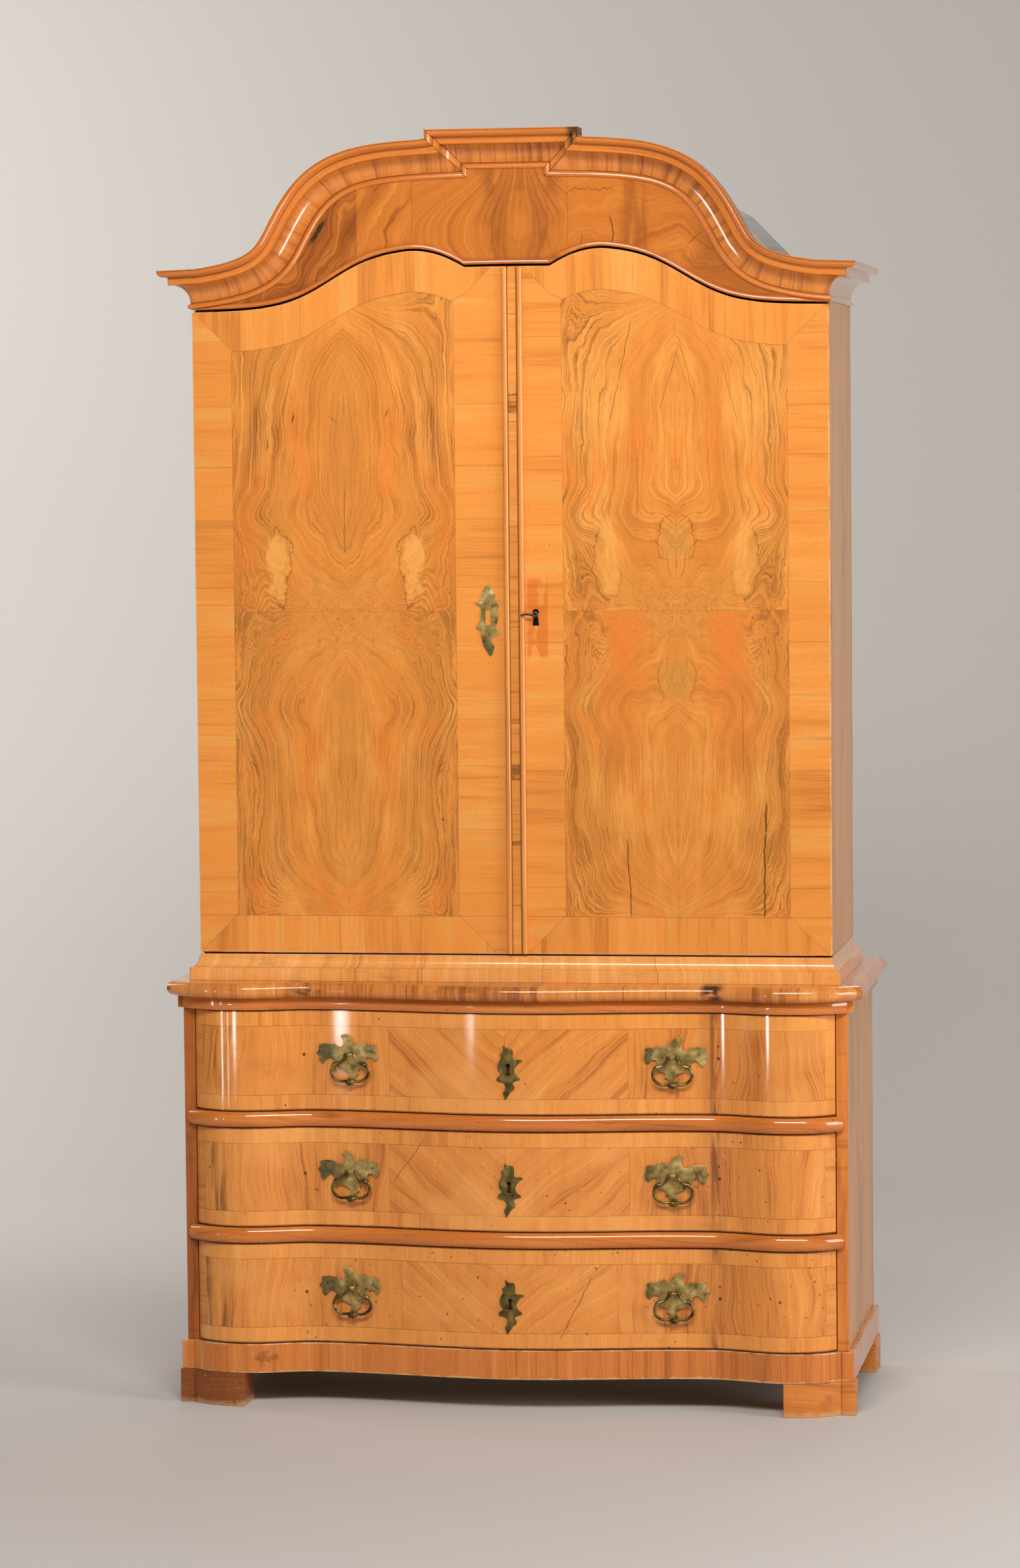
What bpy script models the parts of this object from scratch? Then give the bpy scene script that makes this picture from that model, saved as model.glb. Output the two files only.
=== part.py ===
"""Cabinet on chest: a two-door cabinet under an ogee cornice, on a serpentine chest of three drawers.

Metres. The origin is in the middle of the footprint on the floor, +Z is up and the front faces -Y.
"""
import math

import bmesh
import bpy
from mathutils import Matrix

# Clearances
GAP = 0.0003
LOOSE_GAP = 0.0005
DRAWER_GAP = 0.0016
DRAWER_SIDE_GAP = 0.0015
DOOR_MEET_GAP = 0.002
DOOR_BOTTOM_GAP = 0.0035
ARCH_GAP = 0.0040
PIN_CLEARANCE = 0.0004

# Feet and plinth
FOOT_HEIGHT = 0.058
FOOT_WIDTH = 0.121
FOOT_DEPTH = 0.080
FOOT_PROUD = 0.003
PLINTH_HEIGHT = 0.0505
PLINTH_PROUD = 0.009
PLINTH_STEP = 0.004
PLINTH_THICKNESS = 0.025
CORNER_BLOCK = 0.021
BLOCK_PROUD = 0.003

# Chest
CHEST_WIDTH = 1.156
CHEST_DEPTH = 0.472
CHEST_SIDE = 0.020
CHEST_BOTTOM = 0.018
BACK_BOARD = 0.012
BED_STRIP = 0.010
CHEST_TOP_THICKNESS = 0.026
TOP_OVERHANG = 0.026
TOP_SIDE_OVERHANG = 0.027
TOP_CORNER_BACK = 0.016
TOP_NOSE = 0.012
TOP_RAIL_HEIGHT = 0.021
TOP_RAIL_PROUD = 0.006
RAIL_HEIGHT = 0.0265
RAIL_NOSE = 0.010
RAIL_END = 0.007
RAIL_DEPTH = 0.030
DUST_BOARD = 0.016

# Serpentine front: swells are measured forward of the stile line
CENTRE_SWELL = 0.049
FOLD_SWELL = 0.009
CORNER_SWELL = 0.037
FOLD_FROM_END = 0.2115
CORNER_FROM_END = 0.0895
CORNER_POWER = 2.5

# Drawers
LOWER_DRAWER_HEIGHT = 0.1735
MIDDLE_DRAWER_HEIGHT = 0.172
UPPER_DRAWER_HEIGHT = 0.174
DRAWER_FRONT = 0.022
DRAWER_BOX_HEIGHT = 0.135
DRAWER_WALL = 0.012
DRAWER_BOTTOM = 0.008
DRAWER_BACK_ROOM = 0.012

# Drawer hardware
HANDLE_FROM_CENTRE = 0.279
HANDLE_ABOVE_MIDDLE = 0.011
PLATE_THICKNESS = 0.0016
PLATE_SEAT = 0.0005
HANDLE_STAND = 0.010
EYE_WIDTH = 0.006
EYE_RADIUS = 0.0042
POST_RADIUS = 0.0024
HANDLE_BAR = 0.0016
HANDLE_WIRE = 0.0022
KEYHOLE_BELOW_MIDDLE = 0.007
KEYHOLE_DEPTH = 0.014

# Cabinet
CASE_WIDTH = 1.100
CASE_DEPTH = 0.400
CASE_SIDE = 0.022
CASE_BOTTOM = 0.018
DOOR_SETBACK = 0.017
DOOR_THICKNESS = 0.028
WAIST_HEIGHT = 0.0445
WAIST_PROUD = 0.016
WAIST_INSIDE = 0.030
SHELF_THICKNESS = 0.018
LOWER_SHELF_HEIGHT = 0.367
UPPER_SHELF_HEIGHT = 0.737
SHELF_SETBACK = 0.031

# Arch over the doors and ogee of the cornice
SPRING_HEIGHT = 1.1135
ARCH_RISE = 0.1045
ARCH_BEND_FROM_SIDE = 0.245
ARCH_RUN = 0.087
ARCH_PEAK = 0.175
ARCH_FLAT = 0.074
ARCH_DIP = 0.0325
ARCH_BEAD_HEIGHT = 0.008
ARCH_BEAD_PROUD = 0.006
OGEE_RISE = 0.2413
OGEE_BEND_FROM_SIDE = 0.1967
OGEE_RUN = 0.0634
OGEE_UPPER_POWER = 2.0
OGEE_LOWER_POWER = 1.2
OGEE_EAVE = 0.0015
FRIEZE_UNDER_CORNICE = 0.050
SIDE_UNDER_CORNICE = 0.048

# Cornice profile, outward and upward from its lower edge
BEAD_OUT = 0.006
BEAD_UP = 0.0095
COVE_FOOT = 0.0015
COVE_OUT = 0.026
COVE_UP = 0.0405
FILLET_OUT = 0.034
FILLET_UP = 0.0525
OVOLO_FOOT = 0.038
OVOLO_FOOT_UP = 0.054
LIP_OUT = 0.050
LIP_UP = 0.062
CORNICE_HEIGHT = 0.0655

# Raised middle of the cornice, and roof
STEP_HALF = 0.0667
STEP_RISE = 0.0145
ROOF_THICKNESS = 0.016
ROOF_EAVE = 0.008
ROOF_KNEE_FROM_SIDE = 0.174
ROOF_KNEE = 0.163
ROOF_SHOULDER_FROM_SIDE = 0.290
ROOF_SHOULDER = 0.226
ROOF_RIDGE = 0.246

# Door fittings
PIVOT_INSET = 0.010
PIVOT_SIDE_INSET = 0.006
PIVOT_RADIUS = 0.003
PIVOT_DEPTH = 0.012
PIVOT_PLATE = 0.002
PIVOT_PLATE_LENGTH = 0.030
STRIP_WIDTH = 0.035
STRIP_LAP = 0.0085
STRIP_PROUD = 0.009
STRIP_BEAD = 0.009
STRIP_FACE = 0.0065
KEY_FROM_CENTRE = 0.045
KEY_HEIGHT = 0.591
KEY_RADIUS = 0.0022
KEY_ARM = 0.025
KEY_STAND = 0.017
LOCK_FROM_CENTRE = 0.008
LOCK_LENGTH = 0.072
LOCK_HEIGHT = 0.082
LOCK_DEPTH = 0.018
LOCK_POCKET = 0.012
BOLT_LENGTH = 0.045
BOLT_HEIGHT = 0.012
BOLT_DEPTH = 0.008
LEFT_ESCUTCHEON_FROM_CENTRE = 0.037
SLIDE_BOLT_FROM_CENTRE = 0.029
SLIDE_BOLT_LENGTH = 0.130
SLIDE_BOLT_WIDTH = 0.010
SLIDE_BOLT_DEPTH = 0.006
SLIDE_GUIDE_LENGTH = 0.060

# Levels, from the floor up
PLINTH_Z = FOOT_HEIGHT + GAP
PLINTH_TOP = PLINTH_Z + PLINTH_HEIGHT
LOWER_Z = PLINTH_TOP + DRAWER_GAP
LOWER_RAIL_Z = LOWER_Z + LOWER_DRAWER_HEIGHT + DRAWER_GAP
LOWER_RAIL_TOP = LOWER_RAIL_Z + RAIL_HEIGHT
MIDDLE_Z = LOWER_RAIL_TOP + DRAWER_GAP
UPPER_RAIL_Z = MIDDLE_Z + MIDDLE_DRAWER_HEIGHT + DRAWER_GAP
UPPER_RAIL_TOP = UPPER_RAIL_Z + RAIL_HEIGHT
UPPER_Z = UPPER_RAIL_TOP + DRAWER_GAP
TOP_RAIL_Z = UPPER_Z + UPPER_DRAWER_HEIGHT + DRAWER_GAP
TOP_RAIL_TOP = TOP_RAIL_Z + TOP_RAIL_HEIGHT
CHEST_TOP_Z = TOP_RAIL_TOP + GAP
WAIST_Z = CHEST_TOP_Z + CHEST_TOP_THICKNESS + GAP
WAIST_TOP = WAIST_Z + WAIST_HEIGHT
DOOR_Z = WAIST_TOP + DOOR_BOTTOM_GAP
SPRING_Z = WAIST_TOP + SPRING_HEIGHT
KEY_Z = WAIST_TOP + KEY_HEIGHT

# Widths and depths
HALF_CHEST = CHEST_WIDTH / 2
HALF_INSIDE = HALF_CHEST - CHEST_SIDE
HALF_FRONT = HALF_INSIDE - DRAWER_SIDE_GAP
HALF_PLINTH = HALF_CHEST + PLINTH_PROUD
HALF_CASE = CASE_WIDTH / 2
HALF_CASE_INSIDE = HALF_CASE - CASE_SIDE
BACK_Y = (CHEST_DEPTH + CENTRE_SWELL + TOP_OVERHANG) / 2
STILE_Y = BACK_Y - CHEST_DEPTH
DOOR_Y = STILE_Y + DOOR_SETBACK
DOOR_BACK_Y = DOOR_Y + DOOR_THICKNESS
CASE_FRONT_Y = DOOR_BACK_Y + LOOSE_GAP
CASE_BACK_Y = DOOR_Y + CASE_DEPTH
PIVOT_X = HALF_CASE - PIVOT_SIDE_INSET
PIVOT_Y = DOOR_BACK_Y - PIVOT_INSET

# Outlines of the brass mounts, in millimetres from the post or the keyhole
PLATE_OUTLINE = (
    (-42, -11), (-47, -7), (-49, 0), (-46, 8), (-46, 15), (-39, 18), (-33, 16), (-27, 19), (-21, 20),
    (-17, 23), (-11, 18), (-6, 18), (-3, 25), (4, 32), (11, 34.5), (17, 33), (18, 30), (14, 24), (15, 17),
    (20, 12), (26, 13), (31, 18), (34, 16), (42, 18), (57, 16), (57, 9), (62, 1), (57, -3), (57, -10),
    (51, -16.5), (47, -12), (41, -6.5), (34, -8), (29, -17), (20, -24), (11, -28), (5, -31), (4, -37),
    (7, -41), (0, -44), (-6, -41), (-9, -36), (-14, -34), (-13, -27), (-22, -23), (-27, -17), (-27, -7),
    (-31, -4), (-37, -6),
)
ESCUTCHEON_OUTLINE = (
    (-8, 40), (-2, 36), (6, 35), (9, 30), (9, 21), (11, 16), (18, 16), (25, 14), (19, 10), (13, 3),
    (11, -3), (14, -11), (21, -17), (17, -20), (11, -21.5), (8, -26), (11, -30), (10, -36), (4.5, -40),
    (-5, -53.5), (-7, -48), (-9, -42), (-5, -36), (-5, -29), (-9, -24), (-19, -21), (-19, -16),
    (-13, -10), (-17, -3), (-18, 6), (-14, 15), (-12, 20), (-14, 25), (-8, 30),
)
DOOR_ESCUTCHEON_OUTLINE = (
    (5.5, 55), (6.5, 45), (12.5, 36), (11, 29), (18, 18), (15.5, 11), (17, 0), (15, -12), (12, -20),
    (18.5, -29), (17.5, -33), (7.5, -37.5), (4.5, -45), (10, -53), (4, -69), (-3, -61), (-10, -48),
    (-14, -27), (-21, -21), (-15, -10), (-13, 3), (-14, 15), (-23, 22), (-13, 26), (-11, 37), (-5, 49),
)

# Drop handle, right half, in millimetres from the hinge: sideways, up, radius over the wire radius
HANDLE_PATH = (
    (4.5, 0, 0.75), (7.5, -0.5, 1.25), (10, -6, 0.9), (17, -13, 0.9), (27, -16.5, 1.5), (32, -22, 1.0),
    (33.5, -29, 1.0), (31, -37, 1.0), (25, -43, 1.0), (17, -46, 0.95), (8, -45.5, 1.0), (5, -46.5, 1.9),
)
HANDLE_SHELL = (0, -47.5, 2.2)


# Collections and materials
for leftover in list(bpy.data.objects):
    bpy.data.objects.remove(leftover)
parts = bpy.data.collections.new("cabinet_on_chest")
cutters = bpy.data.collections.new("cutters")
bpy.context.scene.collection.children.link(parts)
bpy.context.scene.collection.children.link(cutters)


def material(name, colour, roughness, metallic):
    made = bpy.data.materials.new(name)
    made.use_nodes = True
    shader = made.node_tree.nodes["Principled BSDF"]
    shader.inputs["Base Color"].default_value = (*colour, 1.0)
    shader.inputs["Roughness"].default_value = roughness
    shader.inputs["Metallic"].default_value = metallic
    return made


VENEER = material("walnut_veneer", (0.36, 0.15, 0.05), 0.30, 0.0)
SOLID = material("solid_walnut", (0.26, 0.10, 0.035), 0.35, 0.0)
BARE = material("bare_softwood", (0.42, 0.33, 0.22), 0.75, 0.0)
BRASS = material("antique_brass", (0.45, 0.33, 0.13), 0.35, 1.0)
IRON = material("dark_iron", (0.09, 0.085, 0.08), 0.5, 1.0)


# Building helpers
def add(name, bm, stuff):
    bmesh.ops.recalc_face_normals(bm, faces=bm.faces)
    mesh = bpy.data.meshes.new(name)
    bm.to_mesh(mesh)
    bm.free()
    mesh.materials.append(stuff)
    made = bpy.data.objects.new(name, mesh)
    parts.objects.link(made)
    return made


def flat(name, outlines, thickness, place, stuff):
    """A flat outline with its holes, thickened along the local Z of its place."""
    curve = bpy.data.curves.new(name, "CURVE")
    curve.dimensions = "2D"
    curve.fill_mode = "BOTH"
    curve.extrude = thickness / 2
    for outline in outlines:
        spline = curve.splines.new("POLY")
        spline.points.add(len(outline) - 1)
        spline.use_cyclic_u = True
        for point, (u, v) in zip(spline.points, outline):
            point.co = (u, v, 0.0, 1.0)
    sketch = bpy.data.objects.new(name + "_outline", curve)
    cutters.objects.link(sketch)
    graph = bpy.context.evaluated_depsgraph_get()
    filled = bpy.data.meshes.new_from_object(sketch.evaluated_get(graph))
    bm = bmesh.new()
    bm.from_mesh(filled)
    bpy.data.objects.remove(sketch)
    bpy.data.meshes.remove(filled)
    bmesh.ops.remove_doubles(bm, verts=bm.verts, dist=0.00001)
    bmesh.ops.transform(bm, matrix=place @ Matrix.Translation((0, 0, thickness / 2)), verts=bm.verts)
    return add(name, bm, stuff)


def lying(name, outlines, low, high, stuff):
    """An outline in plan, from one height to another."""
    return flat(name, outlines, high - low, Matrix.Translation((0, 0, low)), stuff)


def standing(name, outlines, front, back, stuff):
    """An outline in front view, from one depth to another."""
    place = Matrix(((1, 0, 0, 0), (0, 0, 1, front), (0, 1, 0, 0), (0, 0, 0, 1)))
    return flat(name, outlines, back - front, place, stuff)


def box(name, low, high, stuff):
    size = [b - a for a, b in zip(low, high)]
    middle = [(a + b) / 2 for a, b in zip(low, high)]
    bm = bmesh.new()
    bmesh.ops.create_cube(bm, size=1.0, matrix=Matrix.Translation(middle) @ Matrix.Diagonal((*size, 1.0)))
    return add(name, bm, stuff)


def rod(name, start, length, radius, turn, stuff, sides=14):
    """A cylinder that starts at a point and runs along the local Z of its turn."""
    place = Matrix.Translation(start) @ turn @ Matrix.Translation((0, 0, length / 2))
    bm = bmesh.new()
    bmesh.ops.create_cone(
        bm, cap_ends=True, segments=sides, radius1=radius, radius2=radius, depth=length, matrix=place
    )
    return add(name, bm, stuff)


def loft(name, sections, stuff):
    """A solid through closed sections that all have the same number of points."""
    bm = bmesh.new()
    rings = [[bm.verts.new(point) for point in section] for section in sections]
    count = len(rings[0])
    for first, second in zip(rings, rings[1:]):
        for i in range(count):
            j = (i + 1) % count
            bm.faces.new((first[i], first[j], second[j], second[i]))
    bm.faces.new(rings[0])
    bm.faces.new(rings[-1])
    return add(name, bm, stuff)


def combine(target, tool, operation):
    modifier = target.modifiers.new(operation.lower() + "_" + tool.name, "BOOLEAN")
    modifier.operation = operation
    modifier.solver = "EXACT"
    modifier.object = tool
    parts.objects.unlink(tool)
    cutters.objects.link(tool)
    tool.hide_render = True
    tool.display_type = "WIRE"


def cut(target, tool):
    combine(target, tool, "DIFFERENCE")


def fuse(target, tool):
    combine(target, tool, "UNION")


def hang(name, place, children):
    """An empty on a joint, carrying the pieces that move with it."""
    empty = bpy.data.objects.new(name, None)
    empty.location = place
    parts.objects.link(empty)
    for child in children:
        child.parent = empty
        child.matrix_parent_inverse = Matrix.Translation(place).inverted()
    return empty


ALONG_X = Matrix.Rotation(math.radians(90), 4, "Y")
ALONG_Y = Matrix.Rotation(math.radians(-90), 4, "X")
ALONG_Z = Matrix.Identity(4)


def millimetres(outline, side=1):
    return [(side * u / 1000, v / 1000) for u, v in outline]


# Shape of the serpentine front
def ease(start, end, t):
    return start + (end - start) * (0.5 - 0.5 * math.cos(math.pi * t))


def swell(x, half, end_swell=0.0):
    """How far the front stands forward of the stile line, for a curve that ends at a half width."""
    x = abs(x)
    fold = HALF_FRONT - FOLD_FROM_END
    corner = HALF_FRONT - CORNER_FROM_END
    if x <= fold:
        return ease(CENTRE_SWELL, FOLD_SWELL, x / fold)
    if x <= corner:
        return ease(FOLD_SWELL, CORNER_SWELL, (x - fold) / (corner - fold))
    t = min(1.0, (x - corner) / (half - corner))
    return CORNER_SWELL + (end_swell - CORNER_SWELL) * t ** CORNER_POWER


def front_stations(half):
    fold = HALF_FRONT - FOLD_FROM_END
    corner = HALF_FRONT - CORNER_FROM_END
    right = [fold * i / 10 for i in range(1, 11)]
    right += [fold + (corner - fold) * i / 5 for i in range(1, 6)]
    right += [corner + (half - corner) * (i / 6) ** 0.7 for i in range(1, 7)]
    return [-x for x in reversed(right)] + [0.0] + right


def front_line(half, proud, end_swell=0.0):
    """The front edge in plan, left to right, at a distance in front of the drawer faces."""
    return [(x, STILE_Y - proud - swell(x, half, end_swell)) for x in front_stations(half)]


# Shape of the arch, the ogee and the roof
def step_up(x, bend, run):
    return 0.5 + 0.5 * math.tanh((bend - abs(x)) / run)


def arch(x):
    """Height of the lower edge of the arch bead."""
    dip = min(1.0, max(0.0, (ARCH_PEAK - abs(x)) / (ARCH_PEAK - ARCH_FLAT)))
    return SPRING_Z + ARCH_RISE * step_up(x, HALF_CASE - ARCH_BEND_FROM_SIDE, ARCH_RUN) - ARCH_DIP * dip ** 2


def easing(away):
    """A climb from -1 to 1 that turns quicker above the bend than below it."""
    power = OGEE_UPPER_POWER if away > 0 else OGEE_LOWER_POWER
    return away / (1 + abs(away) ** power) ** (1 / power)


def ogee(x):
    """Height of the lower edge of the cornice."""
    bend = HALF_CASE - OGEE_BEND_FROM_SIDE
    climb = easing((bend - abs(x)) / OGEE_RUN) - easing(-OGEE_BEND_FROM_SIDE / OGEE_RUN)
    return SPRING_Z + OGEE_EAVE + OGEE_RISE / 2 * climb


def ogee_normal(x):
    slope = (ogee(x + 0.0005) - ogee(x - 0.0005)) / 0.001
    size = math.hypot(1.0, slope)
    return -slope / size, 1.0 / size


def arch_stations(start, end, count):
    """Evenly spaced places across the arch that also hit the corners of its flat."""
    places = [start + (end - start) * i / count for i in range(count + 1)]
    for corner in (-ARCH_FLAT, ARCH_FLAT):
        if start < corner < end:
            nearest = min(range(1, count), key=lambda i: abs(places[i] - corner))
            places[nearest] = corner
    return places


def roof_line(drop, half):
    knee = HALF_CASE - ROOF_KNEE_FROM_SIDE
    shoulder = HALF_CASE - ROOF_SHOULDER_FROM_SIDE
    right = [(0.0, ROOF_RIDGE), (shoulder, ROOF_SHOULDER), (knee, ROOF_KNEE), (half, ROOF_EAVE)]
    left = [(-x, z) for x, z in reversed(right[1:])]
    return [(x, SPRING_Z + z - drop) for x, z in left + right]


def cornice_profile():
    """Outward and upward points, from the foot of the bead to the top of the lip."""
    points = []
    for i in range(5):
        turn = math.radians(-90 + 45 * i)
        out = max(BEAD_OUT * math.cos(turn), COVE_FOOT)
        points.append((out, BEAD_UP / 2 * (1 + math.sin(turn))))
    for i in range(6):
        turn = math.radians(18 * i)
        points.append((
            COVE_FOOT + (COVE_OUT - COVE_FOOT) * (1 - math.cos(turn)),
            BEAD_UP + GAP + (COVE_UP - BEAD_UP - GAP) * math.sin(turn),
        ))
    points.append((FILLET_OUT, COVE_UP + LOOSE_GAP))
    points.append((FILLET_OUT, FILLET_UP))
    for i in range(4):
        turn = math.radians(30 * i)
        points.append((
            OVOLO_FOOT + (LIP_OUT - OVOLO_FOOT) * math.sin(turn),
            LIP_UP - (LIP_UP - OVOLO_FOOT_UP) * math.cos(turn),
        ))
    points.append((LIP_OUT, CORNICE_HEIGHT))
    return points


# Feet: the front pair follows the serpentine and has a flat corner block
foot_outer = HALF_PLINTH + FOOT_PROUD
foot_inner = foot_outer - FOOT_WIDTH
curve_end = HALF_PLINTH - CORNER_BLOCK
foot_front = PLINTH_STEP + FOOT_PROUD
foot_back_y = STILE_Y - CORNER_SWELL - foot_front + FOOT_DEPTH
for side, word in ((-1, "left"), (1, "right")):
    foot_curve = []
    for i in range(9):
        x = foot_inner + (curve_end - foot_inner) * (i / 8)
        foot_curve.append((side * x, STILE_Y - foot_front - swell(x, curve_end)))
    foot_curve.append((side * curve_end, STILE_Y - foot_front - BLOCK_PROUD))
    foot_curve.append((side * foot_outer, STILE_Y - foot_front - BLOCK_PROUD))
    foot_curve.append((side * foot_outer, foot_back_y))
    foot_curve.append((side * foot_inner, foot_back_y))
    lying("foot_front_" + word, [foot_curve], 0.0, FOOT_HEIGHT, SOLID)
    near, far = sorted((side * foot_inner, side * foot_outer))
    box("foot_back_" + word, (near, BACK_Y - FOOT_DEPTH, 0.0), (far, BACK_Y, FOOT_HEIGHT), SOLID)

# Plinth: front and sides in one frame, open at the back
block_y = STILE_Y - PLINTH_STEP - BLOCK_PROUD
plinth_inside = HALF_PLINTH - PLINTH_THICKNESS
plinth_inside_y = STILE_Y + PLINTH_THICKNESS
plinth_outline = [(-HALF_PLINTH, BACK_Y), (-HALF_PLINTH, block_y), (-curve_end, block_y)]
plinth_outline += front_line(curve_end, PLINTH_STEP)
plinth_outline += [(curve_end, block_y), (HALF_PLINTH, block_y), (HALF_PLINTH, BACK_Y)]
plinth_outline += [(plinth_inside, BACK_Y), (plinth_inside, plinth_inside_y)]
plinth_outline += [(-plinth_inside, plinth_inside_y), (-plinth_inside, BACK_Y)]
lying("plinth", [plinth_outline], PLINTH_Z, PLINTH_TOP, VENEER)

# Carcase of the chest: bottom, sides with the stile edge and the bed strip, back
box(
    "chest_bottom",
    (-plinth_inside + LOOSE_GAP, plinth_inside_y + LOOSE_GAP, PLINTH_TOP - CHEST_BOTTOM),
    (plinth_inside - LOOSE_GAP, BACK_Y, PLINTH_TOP),
    BARE,
)
for side, word in ((-1, "left"), (1, "right")):
    side_outline = [
        (side * HALF_INSIDE, PLINTH_TOP + GAP), (side * HALF_CHEST, PLINTH_TOP + GAP),
        (side * HALF_CHEST, TOP_RAIL_Z), (side * (HALF_CHEST + BED_STRIP), TOP_RAIL_Z),
        (side * (HALF_CHEST + BED_STRIP), TOP_RAIL_TOP), (side * HALF_INSIDE, TOP_RAIL_TOP),
    ]
    standing("chest_side_" + word, [side_outline], STILE_Y, BACK_Y, VENEER)
inside = HALF_INSIDE - LOOSE_GAP
chest_back_y = BACK_Y - BACK_BOARD
box("chest_back", (-inside, chest_back_y, PLINTH_TOP + GAP), (inside, BACK_Y, TOP_RAIL_TOP), BARE)

# Drawer rails: a half-round nose across the stiles, on the front of a dust board
rail_half = HALF_CHEST - RAIL_END
for word, rail_z in (("lower", LOWER_RAIL_Z), ("upper", UPPER_RAIL_Z)):
    rail_sections = []
    for i in range(7):
        rise = math.sin(math.radians(-90 + 30 * i))
        proud = RAIL_NOSE * (0.2 + 0.8 * math.sqrt(max(0.0, 1 - rise * rise)))
        level = rail_z + RAIL_HEIGHT / 2 * (1 + rise)
        section = front_line(rail_half - RAIL_NOSE + proud, proud)
        lip = rail_half - RAIL_NOSE + proud
        section += [(lip, STILE_Y - LOOSE_GAP), (inside, STILE_Y - LOOSE_GAP), (inside, STILE_Y + RAIL_DEPTH)]
        section += [(-x, y) for x, y in reversed(section[-3:])]
        rail_sections.append([(x, y, level) for x, y in section])
    rail = loft("drawer_rail_" + word, rail_sections, SOLID)
    rail_top = rail_z + RAIL_HEIGHT
    board = box(
        "dust_board_" + word,
        (-inside, STILE_Y + RAIL_DEPTH / 2, rail_top - DUST_BOARD),
        (inside, chest_back_y - LOOSE_GAP, rail_top),
        BARE,
    )
    fuse(rail, board)

# Top rail over the drawers, lapping the stiles
top_rail_half = HALF_CHEST - GAP
top_rail_outline = front_line(top_rail_half, TOP_RAIL_PROUD)
top_rail_outline += [(top_rail_half, STILE_Y - LOOSE_GAP), (inside, STILE_Y - LOOSE_GAP)]
top_rail_outline += [(inside, STILE_Y + RAIL_DEPTH), (-inside, STILE_Y + RAIL_DEPTH)]
top_rail_outline += [(-inside, STILE_Y - LOOSE_GAP), (-top_rail_half, STILE_Y - LOOSE_GAP)]
lying("top_rail", [top_rail_outline], TOP_RAIL_Z, TOP_RAIL_TOP, SOLID)

# Chest top with its half-round edge
top_sections = []
for i in range(7):
    turn = math.radians(-90 + 30 * i)
    inset = TOP_NOSE * (1 - math.cos(turn))
    top_half = HALF_CHEST + TOP_SIDE_OVERHANG - inset
    section = front_line(top_half, TOP_OVERHANG - inset, -TOP_CORNER_BACK)
    section += [(top_half, BACK_Y), (-top_half, BACK_Y)]
    level = CHEST_TOP_Z + CHEST_TOP_THICKNESS / 2 * (1 + math.sin(turn))
    top_sections.append([(x, y, level) for x, y in section])
loft("chest_top", top_sections, VENEER)


# Drawers, each with its box, two drop handles on plates and an escutcheon
def keyhole_outline(scale):
    """A round hole over a flared slot, about a point between them."""
    points = []
    for i in range(9):
        turn = math.radians(-50 + 35 * i)
        points.append((0.0040 * scale * math.cos(turn), scale * (0.0045 + 0.0040 * math.sin(turn))))
    points += [(-0.0042 * scale, -0.0120 * scale), (0.0042 * scale, -0.0120 * scale)]
    return points


def handle_frame(side, height):
    """Place on the front under a handle's post: sideways along the front, up, outward."""
    x = side * HANDLE_FROM_CENTRE
    slope = -(swell(x + 0.001, HALF_FRONT) - swell(x - 0.001, HALF_FRONT)) / 0.002
    size = math.hypot(1.0, slope)
    along = (1.0 / size, slope / size)
    seat = 0.0
    for i in range(-62, 63):
        u = i / 1000
        ahead = swell(x + u * along[0], HALF_FRONT) - swell(x, HALF_FRONT)
        seat = max(seat, ahead * along[0] + u * along[0] * along[1])
    seat += PLATE_SEAT
    place = Matrix((
        (along[0], 0, along[1], x),
        (along[1], 0, -along[0], STILE_Y - swell(x, HALF_FRONT)),
        (0, 1, 0, height),
        (0, 0, 0, 1),
    ))
    return place @ Matrix.Translation((0, 0, seat))


def backplate(name, side, place):
    plate = flat(name, [millimetres(PLATE_OUTLINE, side)], PLATE_THICKNESS, place, BRASS)
    post = rod(name + "_post", (0, 0, PLATE_THICKNESS / 2), HANDLE_STAND, POST_RADIUS, ALONG_Z, BRASS)
    eye = rod(name + "_eye", (-EYE_WIDTH / 2, 0, HANDLE_STAND), EYE_WIDTH, EYE_RADIUS, ALONG_X, BRASS)
    bore_radius = HANDLE_BAR + PIN_CLEARANCE
    bore = rod(name + "_bore", (-EYE_WIDTH, 0, HANDLE_STAND), EYE_WIDTH * 2, bore_radius, ALONG_X, BRASS)
    for tool in (post, eye, bore):
        tool.data.transform(place)
    fuse(plate, post)
    fuse(plate, eye)
    cut(plate, bore)
    return plate


def drop_handle(name, place):
    """A closed cast loop whose top bar runs through the eye of its plate."""
    curve = bpy.data.curves.new(name, "CURVE")
    curve.dimensions = "3D"
    curve.bevel_depth = HANDLE_WIRE
    curve.bevel_resolution = 1
    path = list(HANDLE_PATH) + [HANDLE_SHELL] + [(-u, v, r) for u, v, r in reversed(HANDLE_PATH)]
    spline = curve.splines.new("POLY")
    spline.points.add(len(path) - 1)
    spline.use_cyclic_u = True
    for point, (u, v, radius) in zip(spline.points, path):
        point.co = (u / 1000, v / 1000, 0.0, 1.0)
        point.radius = radius
    curve.materials.append(BRASS)
    handle = bpy.data.objects.new(name, curve)
    handle.matrix_world = place @ Matrix.Translation((0, 0, HANDLE_STAND))
    parts.objects.link(handle)
    return handle


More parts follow.
